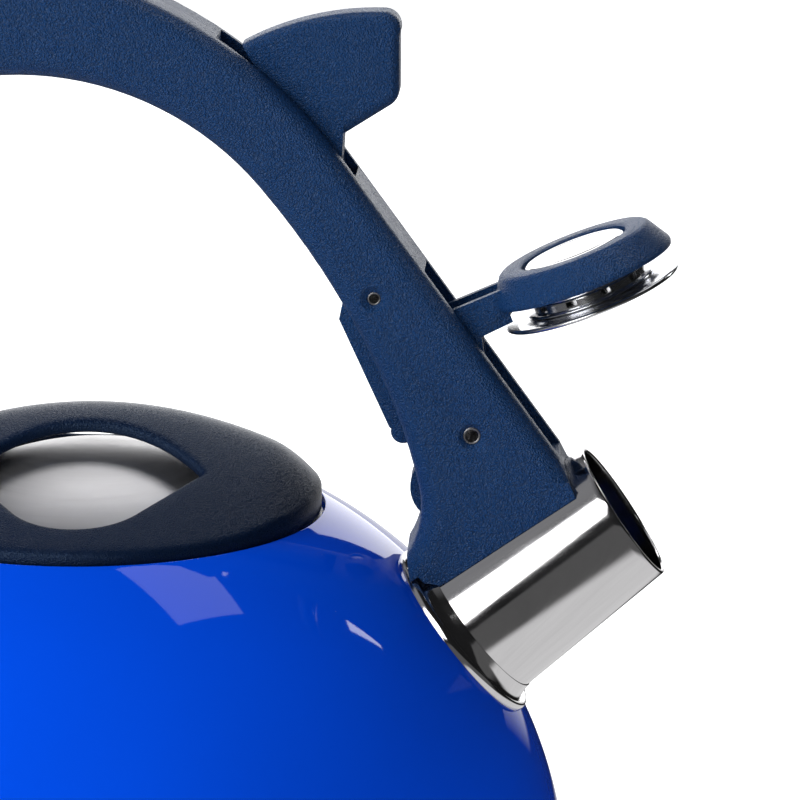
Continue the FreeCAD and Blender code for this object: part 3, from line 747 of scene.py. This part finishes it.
# ---- the pieces -----------------------------------------------------------
def body_profile():
    """Once around the wall's section: the floor, the turn below the widest
    ring, the dome, the lid's stepped seat, and back along the inside."""
    outside = DOME_R - SHOULDER_R
    lip, neck = 0.7 * MM, 5 * MM
    drop = math.asin((DOME_Z - FLOOR_Z) / SHOULDER_R)
    inner_turn = SHOULDER_R - BODY_WALL
    inner_drop = math.asin((DOME_Z - FLOOR_Z - BODY_WALL) / inner_turn)
    brim = math.degrees(math.acos((SEAT_R + lip) / DOME_R))
    brim_z = DOME_Z + math.sqrt(DOME_R ** 2 - SEAT_R ** 2)
    under = LEDGE_Z - BODY_WALL
    inner_r = DOME_R - BODY_WALL
    inner_brim = math.degrees(math.acos((SEAT_R + BODY_WALL) / inner_r))
    floor = [0, 30 * MM, 60 * MM]
    profile = [(radius, FLOOR_Z) for radius in floor]
    profile += arc(outside, DOME_Z, SHOULDER_R, -math.degrees(drop), 0, 22)
    profile += arc(0, DOME_Z, DOME_R, 0, brim, 90)[1:]
    profile += soften([
        (SEAT_R + lip, brim_z - 0.4 * MM, 0), (SEAT_R, brim_z, lip),
        (SEAT_R, LEDGE_Z, 0.6 * MM), (FILL_R, LEDGE_Z, 0.9 * MM), (FILL_R, LEDGE_Z - neck, 0.4 * MM),
        (FILL_R + BODY_WALL, LEDGE_Z - neck, 0.4 * MM), (FILL_R + BODY_WALL, under, 0.3 * MM),
        (SEAT_R + BODY_WALL, under, 0),
    ])[1:]
    profile += arc(0, DOME_Z, inner_r, inner_brim, 0, 60)
    profile += arc(outside, DOME_Z, inner_turn, 0, -math.degrees(inner_drop), 18)[1:]
    profile += [(radius, FLOOR_Z + BODY_WALL) for radius in reversed(floor)]
    return profile


def make_body(settings):
    """The enamelled shell, with the strainer's holes behind the spout."""
    shell = turned("body", body_profile(), around=288)
    pierced = run_tree(
        "body", shell, perforation_tree(), "blue_enamel", Hole_Radius=settings.hole_radius,
        Pitch=settings.hole_pitch, Count=6, Drill_Length=16 * MM,
        Centre=SPOUT_FRAME @ Vector((0, 0, -SPOUT_BACK - 2 * MM)),
        Turn=(0.0, math.pi / 2 - SPOUT_RISE, 0.0),
    )
    keep("enamelled_body", pierced, 50, "blue_enamel", "kettle", "body_shell")


def make_base():
    """The heat-spreading disc, with a turned rim and shallow rings below."""
    corners = [(0, FLOOR_Z, 0), (BASE_R, FLOOR_Z, 0.3 * MM), (BASE_R, 0, 1.8 * MM)]
    outer_ring, ring_step = 80, 12
    for k in range(6):
        ring = outer_ring - ring_step * k
        corners += in_mm([(ring + 0.8, 0, 0.3), (ring, 0.5, 0.3), (ring - 0.8, 0, 0.3)])
    corners.append((0, 0, 0))
    keep("base_plate", turned("base", soften(corners)), 40, "base_steel", "kettle", "base_disc")


def spout_radius(along):
    """Outer radius of the spout, a distance along its axis from the mouth."""
    return SPOUT_R - along * SPOUT_TAPER


def on_spout(angle, along, inset):
    radius = spout_radius(along) - inset
    return SPOUT_FRAME @ Vector((radius * math.cos(angle), radius * math.sin(angle), along))


def meets_dome(angle, inset):
    """How far back along the spout a line of its wall meets the dome."""
    front, back = 0.0, -1.4 * SPOUT_BACK
    centre = Vector((0, 0, DOME_Z))
    for _ in range(40):
        middle = (front + back) / 2
        if (on_spout(angle, middle, inset) - centre).length > DOME_R:
            front = middle
        else:
            back = middle
    return front


def make_spout():
    """The tapered tube: its mouth is cut at its own angle and its lip is
    rolled round, and its root follows the dome."""
    around, lengthways, lip_steps = 192, 40, 8
    slant = math.tan(SPOUT_RISE - MOUTH_RISE)
    half = SPOUT_WALL / 2
    verts, faces = [], []
    for k in range(around):
        angle = 2 * math.pi * k / around
        reach = SPOUT_R * math.cos(angle) * slant
        front = -reach / (1 - SPOUT_TAPER * math.cos(angle) * slant) - half
        back = meets_dome(angle, 0)
        inner_back = meets_dome(angle, SPOUT_WALL)
        for i in range(lengthways + 1):
            verts.append(on_spout(angle, back + (front - back) * i / lengthways, 0))
        for i in range(1, lip_steps):
            a = math.pi * i / lip_steps
            verts.append(on_spout(angle, front + half * math.sin(a), half * (1 - math.cos(a))))
        for i in range(lengthways + 1):
            along = front + (inner_back - front) * i / lengthways
            verts.append(on_spout(angle, along, SPOUT_WALL))
    count = len(verts) // around
    for k in range(around):
        here, there = k * count, (k + 1) % around * count
        for i in range(count):
            j = (i + 1) % count
            faces.append([here + i, there + i, there + j, here + j])
    tube = mesh_of("spout", verts, faces)
    keep("spout", tube, 50, "spout_steel", "kettle", "spout_tube")


def make_flange():
    """The ring around the spout's root: a cove up the tube, a groove and a
    rolled bead that stands on the enamel."""
    back = -SPOUT_BACK
    root = spout_radius(back)
    far = (SPOUT_MOUTH - Vector((0, 0, DOME_Z))).length

    def on_dome(radius):
        return math.sqrt(DOME_R ** 2 - radius ** 2) - far

    corners = [
        (root + 0.05 * MM, back + 3.4 * MM, 0), (root + 0.5 * MM, back + 1.3 * MM, 1.2 * MM),
        (FLANGE_R - 2.3 * MM, back + 0.1 * MM, 0.6 * MM), (FLANGE_R - 1.6 * MM, back - 0.5 * MM, 0.3 * MM),
        (FLANGE_R - 1.3 * MM, back + 0.1 * MM, 0.3 * MM), (FLANGE_R - 0.5 * MM, back + 0.2 * MM, 0.5 * MM),
        (FLANGE_R, back - 0.6 * MM, 0.7 * MM), (FLANGE_R, on_dome(FLANGE_R), 0.1 * MM),
        (root, on_dome(root), 0),
    ]
    profile = soften(corners, 6)
    ring = turned("flange", profile + profile[:1], SPOUT_FRAME)
    keep("spout_flange_ring", ring, 40, "spout_steel", "kettle", "spout_flange")


def make_lid():
    """The satin lid with its flat rim and round crown, and the skirt below."""
    foot = 90 - math.degrees(math.asin(CROWN_FOOT / CROWN_R)) + 1.2
    rim_top = LEDGE_Z + LID_SHEET
    profile = arc(0, CROWN_Z, CROWN_R, 90, foot, 40)
    profile += soften([
        profile[-1] + (0,), (CROWN_FOOT, rim_top, 1.2 * MM), (LID_R, rim_top, 0.35 * MM),
        (LID_R, LEDGE_Z, 0.35 * MM), (CROWN_FOOT, LEDGE_Z, 0),
    ])[1:]
    profile += arc(0, CROWN_Z, CROWN_R - LID_SHEET, foot, 90, 40)
    keep("lid_plate", turned("lid", profile), 50, "lid_steel", "lid", "lid_pan")
    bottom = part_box("lid_collar")[0].z
    skirt = closed([
        (COLLAR_R - SKIRT_WALL, LEDGE_Z, 0), (COLLAR_R - SKIRT_WALL, bottom, 0.3 * MM),
        (COLLAR_R, bottom, 0.3 * MM), (COLLAR_R, LEDGE_Z, 0),
    ])
    keep("lid_skirt", turned("skirt", skirt), 50, "lid_steel", "lid", "lid_collar")


def on_crown(side):
    """From local Z out of the lid's crown to one of the knob's two screws."""
    tilt = Matrix.Rotation(side * KNOB_SCREW_TILT, 4, "Y")
    return Matrix.Translation((0, 0, CROWN_Z)) @ tilt @ Matrix.Translation((0, 0, CROWN_R))


def knob_height(x, y):
    """The knob's top: an arched ridge along X that falls away on both sides
    like a roof, and turns down at its two tips."""
    arch, slope, ridge_round, curl, tip_start = 192, 0.22, 3, 0.028, 40
    x, y = x / MM, y / MM
    ridge = -x * x / arch
    roof = math.sqrt(slope * y * y + ridge_round ** 2) - ridge_round
    tip = curl * max(0.0, abs(x) - tip_start) ** 2
    return KNOB_TOP + (ridge - roof - tip) * MM


def knob_depth(x, y):
    """The knob's thickness, which grows at its rim so that the rim hangs
    down to just above the lid."""
    reach = (math.hypot(x, y) - KNOB_R + 5 * MM) / (4 * MM)
    hang = knob_height(x, y) - (LEDGE_Z + LID_SHEET + 0.6 * MM)
    return KNOB_WALL + min(1.0, max(0.0, reach)) * max(0.0, hang - KNOB_WALL)


def window_corners():
    """One finger window beside the bridge, as runs of points: a long curve
    along the bridge between two pointed ends, two straight sides, and a round
    outer side."""
    tip, shoulder, bridge = (27 * MM, 20.3 * MM), (14 * MM, 36.8 * MM), 9 * MM
    bow = tip[1] - bridge
    long_r = (tip[0] ** 2 + bow ** 2) / (2 * bow)
    half = math.asin(tip[0] / long_r)
    slope = math.atan2(shoulder[1] - tip[1], tip[0] - shoulder[0])
    round_r = shoulder[0] / math.sin(slope)
    middle_y = shoulder[1] - round_r * math.cos(slope)
    points = []
    for k in range(1, 40):
        a = -half + 2 * half * k / 40
        points.append((long_r * math.sin(a), bridge + long_r * (1 - math.cos(a)), 0))
    points.append((*tip, 1.4 * MM))
    for k in range(25):
        a = slope - 2 * slope * k / 24
        points.append((round_r * math.sin(a), middle_y + round_r * math.cos(a), 0))
    points.append((-tip[0], tip[1], 1.4 * MM))
    return points


def window_outline(side, inset):
    """The window's outline, grown by an inset into the plastic."""
    base = [Vector(p) for p in closed(window_corners())[:-1]]
    out = []
    for k, here in enumerate(base):
        along = (base[(k + 1) % len(base)] - base[k - 1]).normalized()
        grown = here + Vector((along.y, -along.x)) * inset
        out.append((grown.x, side * grown.y))
    return out


def rim_outline(inset):
    radius = KNOB_R - inset
    steps = 220
    return [
        (radius * math.cos(2 * math.pi * k / steps), radius * math.sin(2 * math.pi * k / steps))
        for k in range(steps)
    ]


def inside(ring, x, y):
    """Whether a point lies inside a closed ring."""
    found = False
    for (x0, y0), (x1, y1) in zip(ring, ring[1:] + ring[:1]):
        if (y0 > y) != (y1 > y) and x < (x1 - x0) * (y - y0) / (y1 - y0) + x0:
            found = not found
    return found


def on_sheet(rings, x, y):
    """Whether a point lies inside the rim's ring and in neither window's."""
    rim, *windows = rings
    return inside(rim, x, y) and not any(inside(window, x, y) for window in windows)


def knob_sheet():
    """The knob's shell: a face above and below, filled between rings that
    follow its rim and its windows, and rounded edges that join them."""
    rounding = 1.3 * MM
    insets = [0.0, 0.1 * MM, 0.35 * MM, 0.75 * MM, rounding]
    outlines = [rim_outline] + [lambda d, s=s: window_outline(s, d) for s in (-1, 1)]
    verts, faces = [], []

    def ring_at(outline, inset, layer):
        """A ring on the rounded edge of the top (0) or the underside (1)."""
        start = len(verts)
        drop = rounding - math.sqrt(max(0.0, rounding ** 2 - (rounding - inset) ** 2))
        for x, y in outline(inset):
            z = knob_height(x, y) - layer * knob_depth(x, y) - (1 - 2 * layer) * drop
            verts.append(Vector((x, y, z)))
        return list(range(start, len(verts)))

    face_rings = ([], [])
    for outline in outlines:
        top, under = [[ring_at(outline, inset, layer) for inset in insets] for layer in (0, 1)]
        face_rings[0].append(top[-1])
        face_rings[1].append(under[-1])
        chain = top[::-1] + under
        for low, high in zip(chain, chain[1:]):
            for k in range(len(low)):
                j = (k + 1) % len(low)
                faces.append([low[k], low[j], high[j], high[k]])
    step = 1.4 * MM
    span = range(-int(KNOB_R / step) - 1, int(KNOB_R / step) + 2)
    limits = [outline(rounding + step / 2) for outline in outlines]
    bounds = [outline(rounding) for outline in outlines]
    grid = [((i + 0.5 * (j % 2)) * step, j * step) for i in span for j in span]
    grid = [(x, y) for x, y in grid if on_sheet(limits, x, y)]
    for layer, rings in enumerate(face_rings):
        owners = [v for ring in rings for v in ring]
        flat = [verts[v].xy for v in owners]
        edges, start = [], 0
        for ring in rings:
            count = len(ring)
            edges += [(start + k, start + (k + 1) % count) for k in range(count)]
            start += count
        for x, y in grid:
            flat.append(Vector((x, y)))
            owners.append(len(verts))
            verts.append(Vector((x, y, knob_height(x, y) - layer * knob_depth(x, y))))
        found = delaunay_2d_cdt(flat, edges, [], 0, 1e-9)
        for tri in found[2]:
            corners = [found[3][v][0] for v in tri]
            x = sum(flat[c].x for c in corners) / 3
            y = sum(flat[c].y for c in corners) / 3
            if on_sheet(bounds, x, y):
                faces.append([owners[c] for c in corners])
    return mesh_of("knob", verts, faces)


def make_knob():
    """The bridge knob and the two bosses under it that the screws enter."""
    column = soften(in_mm([
        (0, 9, 0), (4.5, 8.2, 0), (4.5, 0.1, 0.3), (1.5, 0.1, 0.2), (1.5, 7.5, 0), (0, 7.5, 0),
    ]))
    bosses = [turned("boss", column, on_crown(side), 48) for side in (-1, 1)]
    knob = joined("knob", [knob_sheet()] + bosses)
    keep("lid_bridge_knob", knob, 60, "black_plastic", "lid", "lid_knob")


CAD_MERGE = 2e-6
MOULDED_CREASE = 32


def soft_copy(node, width):
    """A merged copy of a frame part with its sharp edges rounded."""
    mesh = frame["nodes"][node].data.copy()
    bm = bmesh.new()
    bm.from_mesh(mesh)
    bmesh.ops.remove_doubles(bm, verts=bm.verts, dist=CAD_MERGE)
    bmesh.ops.dissolve_degenerate(bm, dist=CAD_MERGE, edges=bm.edges)
    bmesh.ops.dissolve_limit(
        bm, angle_limit=math.radians(0.3), use_dissolve_boundaries=False,
        verts=bm.verts, edges=bm.edges,
    )
    clean = bpy.data.meshes.new(node)
    bm.to_mesh(clean)
    bm.free()
    bpy.data.meshes.remove(mesh)
    piece = linked(node, clean)
    if width > 0:
        bevel = piece.modifiers.new("Edges", "BEVEL")
        bevel.width = width
        bevel.segments = 2
        bevel.limit_method = "ANGLE"
        bevel.angle_limit = math.radians(MOULDED_CREASE)
        bevel.use_clamp_overlap = True
        bevel.miter_outer = "MITER_ARC"
    result = result_of(piece)
    bpy.data.objects.remove(piece)
    return result


def make_moulded(settings):
    """The plastic parts, each with its share of the edge rounding."""
    for name, node, body, share in (
        ("handle_near", "handle_near_half", "kettle", 0.5),
        ("handle_far", "handle_far_half", "kettle", 0.0),
        ("thumb_lever", "trigger_lever", "trigger", 1.0),
        ("cap_and_arm", "cap_arm", "cap", 1.0),
    ):
        mesh = soft_copy(node, share * settings.edge)
        keep(name, mesh, MOULDED_CREASE, "navy_plastic", body, node)


def make_cap_disc():
    """The mirror disc let into the cap: a crowned middle, a fine step and a
    rolled edge."""
    top, radius = CAP_TOP / MM, INSERT_R / MM - 0.45
    profile = soften(in_mm([
        (0, top + 0.25, 0), (4, top + 0.2, 2), (9.6, top - 0.25, 1.0), (10.2, top - 0.42, 0.3),
        (radius - 0.9, top - 0.30, 0.5), (radius, top - 0.75, 0.5), (radius, top - 1.38, 0.1),
        (0, top - 1.38, 0),
    ]), 8)
    disc = turned("disc", profile, CAP_FRAME)
    keep("cap_mirror_disc", disc, 50, "mirror_steel", "cap", "cap_insert_disc")


def make_whistle(settings):
    """The closing plate, the slotted cup, the cover and the rivet."""
    rim, edge, rivet_top = DISC_R / MM, settings.disc_edge / MM, CAP_TOP / MM - 2.65
    plate = closed(in_mm([
        (2.0, 0.5, 0.2), (14.6, 0.5, 0.8), (17.3, 0.1, 0.8), (rim - 0.5, 0.1, edge),
        (rim, 0.6, edge), (rim - 0.4, 1.2, edge), (17.3, 0.95, 0.8), (14.8, 1.3, 0.6),
        (2.0, 1.3, 0.2),
    ]))
    cup = closed(in_mm([
        (1.6, 5.2, 0.1), (1.6, 4.4, 0.1), (11.2, 4.4, 0.7), (12.4, 3.4, 0.5), (12.4, 2.1, 0.2),
        (14.8, 2.1, 0.3), (15.2, 1.7, 0.3), (14.8, 1.34, 0.3), (13.4, 1.34, 0.3),
        (13.2, 4.2, 0.8), (12.0, 5.2, 0.6),
    ]), 4)
    cover = closed(in_mm([
        (1.6, 5.24, 0.1), (14.2, 5.24, 0.4), (15.0, 5.7, 0.4), (14.2, 6.2, 0.4),
        (11.0, 6.2, 0.6), (9.6, 7.4, 0.6), (1.6, 7.4, 0.1),
    ]), 4)
    rivet = soften(in_mm([
        (0, 3.2, 0), (2.8, 3.2, 0.8), (2.8, 4.38, 0.2), (1.55, 4.38, 0), (1.55, rivet_top, 0),
        (0, rivet_top, 0),
    ]))
    slotted = run_tree(
        "cup", turned("cup", cup, CAP_FRAME, 144), slot_ring_tree(), "whistle_steel",
        Count=settings.slots, Ring_Radius=12.8 * MM, Height=3.05 * MM,
        Slot=(3.2 * MM, 2.6 * MM, 1.2 * MM),
        Centre=CAP_FRAME.to_translation(), Turn=tuple(CAP_FRAME.to_euler()),
    )
    for name, mesh, node in (
        ("whistle_plate", turned("plate", plate, CAP_FRAME), "whistle_disc"),
        ("whistle_chamber", slotted, "whistle_cup"),
        ("whistle_top", turned("cover", cover, CAP_FRAME), "whistle_cover"),
        ("whistle_centre_rivet", turned("rivet", rivet, CAP_FRAME, 64), "whistle_rivet"),
    ):
        keep(name, mesh, 40, "whistle_steel", "cap", node)


def screw_places():
    """Where each group of screws stands: the tops of the heads, each with its
    turn, and in millimetres the radius and height of the head, the radius of
    the shank, and the length."""
    aside = (-math.pi / 2, 0, 0)
    grip = [(Vector(p) * MM, aside) for p in ((-74, 12.2, 227), (-16, 12.2, 248), (91, 12.2, 139))]
    below_lid = Matrix.Translation((0, 0, -LID_SHEET - 2 * MM)) @ Matrix.Rotation(math.pi, 4, "X")
    under = []
    for side in (-1, 1):
        place = on_crown(side) @ below_lid
        under.append((place.to_translation(), tuple(place.to_euler())))
    fixing = [(Vector((72.7, 4.6, 139.4)) * MM, (0, -math.pi / 2, 0))]
    return (
        ("grip_screws", "handle_screws", "kettle", grip, 3.1, 1.7, 1.45, 17.5),
        ("knob_fixing_screws", "knob_screws", "lid", under, 3.2, 1.5, 1.45, 7.4),
        ("handle_fixing", "handle_fixing_screw", "kettle", fixing, 2.9, 0.9, 1.55, 11.4),
    )


def make_screws():
    """Each group of screws as one piece, every screw made at its place."""
    tree = screw_tree()
    for name, node, body, places, head, height, shank, length in screw_places():
        parts = []
        for point, turn in places:
            here = bpy.data.meshes.new("point")
            here.from_pydata([point], [], [])
            parts.append(run_tree(
                name, here, tree, "screw_steel", Head_Radius=head * MM, Head_Height=height * MM,
                Shank_Radius=shank * MM, Length=length * MM, Turn=turn,
            ))
        keep(name, joined(name, parts), 30, "screw_steel", body, node)


def make_pins():
    """The two hinge pins and the link pin, with hollow riveted ends."""
    for name, node, body in (
        ("lever_pin", "trigger_pivot_pin", "kettle"), ("cap_pin", "cap_pivot_pin", "kettle"),
        ("drive_pin", "link_pin", "cap"),
    ):
        low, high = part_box(node)
        middle = (low + high) / 2
        radius, half = (high.x - low.x) / 2, (high.y - low.y) / 2
        bore, depth = 0.72 * radius, 0.7 * half
        profile = soften([
            (0, depth - half, 0), (bore, depth - half, 0), (bore, -half, 0.1 * radius),
            (radius, -half, 0.25 * radius), (radius, half, 0.25 * radius), (bore, half, 0.1 * radius),
            (bore, half - depth, 0), (0, half - depth, 0),
        ], 4)
        place = Matrix.Translation(middle) @ Matrix.Rotation(math.pi / 2, 4, "X")
        pin = turned(name, profile, place, 64)
        keep(name, pin, 50, "screw_steel", body, node)


def finish_carried():
    """The bracket and the washers keep the frame's shape and get a finish."""
    for node, slot in (("handle_bracket", "base_steel"), ("trigger_washers", "screw_steel")):
        mesh = frame["nodes"][node].data
        mesh.materials.clear()
        mesh.materials.append(MATERIALS[slot])


# ---- stage ----------------------------------------------------------------
WORLD_SOFT = 0.32
ROOM_DARK, ROOM_LEFT = 0.012, 0.24
BACKDROP = 1.05
FLOOR_LIFT = 0.72
FLOOR_HALF = 30.0
# Where the patches of floor that glossy parts mirror fade in or out, in metres:
# the lit patch by its radius, and the front and the far back by their Y.
LIT_PATCH = (0.235, 0.275)
FRONT_STRIP = (-0.12, -0.02)
BACK_STRIP = (0.49, 0.55)

# Each lamp's turn from +X and rise above level in degrees, its distance, width
# and height in metres, its brightness, and whether glossy parts mirror it.
LAMPS = (
    ("back panel", 92, 14, 1.6, 1.30, 0.90, 1.9, True),
    ("front softbox", -123, 20, 1.4, 0.95, 0.75, 3.4, True),
    ("high back panel", 92, 60, 1.6, 1.15, 0.50, 2.6, True),
    ("overhead softbox", 46, 72, 1.5, 0.55, 0.42, 1.2, True),
    ("small window", 39.5, 33, 1.5, 0.24, 0.30, 4.6, True),
    ("left key", -158, 34, 1.6, 0.9, 0.9, 6.8, False),
)
LAMP_TARGET = Vector((0.06, 0.0, 0.13))

CAMERA_TARGET = Vector((0.070, 0.0, 0.1598))
CAMERA_TURN, CAMERA_RISE = math.radians(2.3), math.radians(13.0)
CAMERA_DISTANCE = 0.85
CAMERA_LENS, CAMERA_FILM = 168.28, 36.0


def aim(piece, target):
    direction = Vector(target) - piece.location
    piece.rotation_euler = direction.to_track_quat("-Z", "Y").to_euler()


def mix_shaders(n, factor, first, second):
    node = n.add("ShaderNodeMixShader")
    for socket, given in zip(node.inputs, (factor, first, second)):
        n.link(given, socket)
    return node.outputs[0]


def floor_material():
    """A pale floor.  Mirrors and glossy parts see a painted glow in its place: a bright patch
    that the kettle stands on, as if black cards lay around it, a faint strip in front and white far
    behind."""
    material, n, shader, place = new_material("Pale floor")
    tone = n.blend(n.noise(place, 3.0, 2.0), (0.93, 0.93, 0.94, 1), (0.95, 0.95, 0.95, 1))
    n.value(shader, Base_Color=tone, Roughness=0.6, Specular_IOR_Level=0.0)
    length = n.add("ShaderNodeVectorMath", operation="LENGTH")
    n.link(place, length.inputs[0])
    split = n.split(place)
    near = n.spread(length.outputs["Value"], *LIT_PATCH, 0.72, 0.01)
    front = n.spread(split["Y"], *FRONT_STRIP, 0.10, 0.0)
    far_back = n.spread(split["Y"], *BACK_STRIP, 0.0, 0.85)
    aside = n.math("DIVIDE", split["X"], n.math("ABSOLUTE", split["Y"]))
    behind = n.times(far_back, n.spread(aside, 0.5, 0.7, 1.0, 0.0))
    # Painted glow that glossy rays see instead of the floor: painted reflections of a lit patch, a front
    # strip and the far back.
    seen = n.add("ShaderNodeEmission")
    n.link(n.math("MAXIMUM", n.math("MAXIMUM", near, front), behind), seen.inputs["Strength"])
    lift = n.add("ShaderNodeEmission")
    path = n.add("ShaderNodeLightPath")
    n.link(n.times(path.outputs["Is Camera Ray"], FLOOR_LIFT), lift.inputs["Strength"])
    bright = n.add("ShaderNodeAddShader")
    n.link(shader.outputs[0], bright.inputs[0])
    n.link(lift.outputs[0], bright.inputs[1])
    choice = mix_shaders(n, path.outputs["Is Glossy Ray"], bright.outputs[0], seen.outputs[0])
    n.link(choice, material.node_tree.nodes["Material Output"].inputs["Surface"])
    return material


def make_world():
    """Soft light for matt surfaces, a dark room for glossy ones that is
    lighter on the left, and plain white behind."""
    world = bpy.data.worlds.new("Studio")
    world.use_nodes = True
    n = Nodes(world.node_tree)
    soft = world.node_tree.nodes["Background"]
    n.value(soft, Color=(0.94, 0.97, 1.0, 1), Strength=WORLD_SOFT)
    split = n.split(n.add("ShaderNodeTexCoord").outputs["Generated"])
    left = n.spread(split["X"], -0.40, -0.62, ROOM_DARK, ROOM_LEFT)
    room = n.value(n.add("ShaderNodeBackground"), Color=(0.95, 0.96, 1.0, 1), Strength=left)
    white = n.value(n.add("ShaderNodeBackground"), Color=(1, 1, 1, 1), Strength=BACKDROP)
    path = n.add("ShaderNodeLightPath").outputs
    inner = mix_shaders(n, path["Is Glossy Ray"], soft.outputs[0], room.outputs[0])
    outer = mix_shaders(n, path["Is Camera Ray"], inner, white.outputs[0])
    n.link(outer, world.node_tree.nodes["World Output"].inputs["Surface"])
    bpy.context.scene.world = world


def toward(turn, rise):
    """The direction at a turn from +X and a rise above level."""
    level = math.cos(rise)
    return Vector((math.cos(turn) * level, math.sin(turn) * level, math.sin(rise)))


def make_lamp(name, turn, rise, distance, width, height, radiance, mirrored):
    """A softbox that the camera doesn't see, of a set brightness as seen from
    the kettle, whatever its size."""
    data = bpy.data.lights.new(name, "AREA")
    data.shape = "RECTANGLE"
    data.size, data.size_y = width, height
    data.energy = radiance * math.pi * width * height
    lamp = linked(name, data)
    lamp.location = LAMP_TARGET + toward(math.radians(turn), math.radians(rise)) * distance
    aim(lamp, LAMP_TARGET)
    lamp.visible_camera = False
    lamp.visible_glossy = mirrored


def make_stage():
    """The floor, the world and the lamps."""
    corners = [(x * FLOOR_HALF, y * FLOOR_HALF, 0) for x, y in ((-1, -1), (1, -1), (1, 1), (-1, 1))]
    mesh = bpy.data.meshes.new("floor")
    mesh.from_pydata(corners, [], [(0, 1, 2, 3)])
    mesh.materials.append(floor_material())
    floor = linked("floor", mesh)
    make_world()
    bpy.context.scene.view_settings.view_transform = "Standard"
    for lamp in LAMPS:
        make_lamp(*lamp)


def make_camera():
    """A long lens, a little to the right of straight ahead and looking down."""
    data = bpy.data.cameras.new("camera")
    data.lens, data.sensor_width = CAMERA_LENS, CAMERA_FILM
    camera = linked("camera", data)
    camera.location = CAMERA_TARGET + CAMERA_DISTANCE * toward(CAMERA_TURN - math.pi / 2, CAMERA_RISE)
    aim(camera, CAMERA_TARGET)
    bpy.context.scene.camera = camera


# ---- operators, panel and registration -------------------------------------
class KETTLE_OT_materials(bpy.types.Operator):
    """Make every finish of the kettle"""
    bl_idname = "kettle.materials"
    bl_label = "Finishes"

    def execute(self, context):
        MATERIALS.update(make_materials(context.scene))
        return {"FINISHED"}


class KETTLE_OT_body(bpy.types.Operator):
    """Make the enamelled body and its base plate"""
    bl_idname = "kettle.body"
    bl_label = "Body"

    def execute(self, context):
        make_body(context.scene.kettle_body)
        make_base()
        return {"FINISHED"}


class KETTLE_OT_spout(bpy.types.Operator):
    """Make the spout and the flange around its root"""
    bl_idname = "kettle.spout"
    bl_label = "Spout"

    def execute(self, context):
        make_spout()
        make_flange()
        return {"FINISHED"}


class KETTLE_OT_lid(bpy.types.Operator):
    """Make the lid, its skirt and the bridge knob"""
    bl_idname = "kettle.lid"
    bl_label = "Lid and knob"

    def execute(self, context):
        make_lid()
        make_knob()
        return {"FINISHED"}


class KETTLE_OT_moulded(bpy.types.Operator):
    """Make the handle halves, the lever and the cap"""
    bl_idname = "kettle.moulded"
    bl_label = "Handle, lever and cap"

    def execute(self, context):
        make_moulded(context.scene.kettle_plastic)
        return {"FINISHED"}


class KETTLE_OT_whistle(bpy.types.Operator):
    """Make the whistle and the mirror disc of the cap"""
    bl_idname = "kettle.whistle"
    bl_label = "Whistle"

    def execute(self, context):
        make_cap_disc()
        make_whistle(context.scene.kettle_whistle)
        return {"FINISHED"}


class KETTLE_OT_fasteners(bpy.types.Operator):
    """Make the screws and pins, and finish the carried-over parts"""
    bl_idname = "kettle.fasteners"
    bl_label = "Screws and pins"

    def execute(self, context):
        make_screws()
        make_pins()
        finish_carried()
        return {"FINISHED"}


class KETTLE_OT_stage(bpy.types.Operator):
    """Make the floor, the lights and the camera"""
    bl_idname = "kettle.stage"
    bl_label = "Stage"

    def execute(self, context):
        make_camera()
        make_stage()
        return {"FINISHED"}


STEPS = (
    KETTLE_OT_stage, KETTLE_OT_materials, KETTLE_OT_body, KETTLE_OT_spout, KETTLE_OT_lid,
    KETTLE_OT_moulded, KETTLE_OT_whistle, KETTLE_OT_fasteners,
)

GROUPS = {
    "kettle_body": BodySettings, "kettle_plastic": PlasticSettings, "kettle_whistle": WhistleSettings,
}


class KETTLE_PT_panel(bpy.types.Panel):
    """Lists the kettle's settings and the steps that build it"""
    bl_label = "Kettle"
    bl_idname = "KETTLE_PT_panel"
    bl_space_type = "VIEW_3D"
    bl_region_type = "UI"
    bl_category = "Kettle"

    def draw(self, context):
        layout = self.layout
        for group in (getattr(context.scene, key) for key in GROUPS):
            for name in group.bl_rna.properties.keys():
                if name not in ("rna_type", "name"):
                    layout.prop(group, name)
        for step in STEPS:
            layout.operator(step.bl_idname)


def register():
    for group in GROUPS.values():
        bpy.utils.register_class(group)
    for name, group in GROUPS.items():
        setattr(bpy.types.Scene, name, PointerProperty(type=group))
    for item in STEPS + (KETTLE_PT_panel,):
        bpy.utils.register_class(item)


def unregister():
    for item in reversed(STEPS + (KETTLE_PT_panel,)):
        bpy.utils.unregister_class(item)
    for name in GROUPS:
        delattr(bpy.types.Scene, name)
    for group in reversed(GROUPS.values()):
        bpy.utils.unregister_class(group)


def main():
    register()
    for step in STEPS:
        prefix, name = step.bl_idname.split(".")
        getattr(getattr(bpy.ops, prefix), name)()


if __name__ == "__main__":
    main()
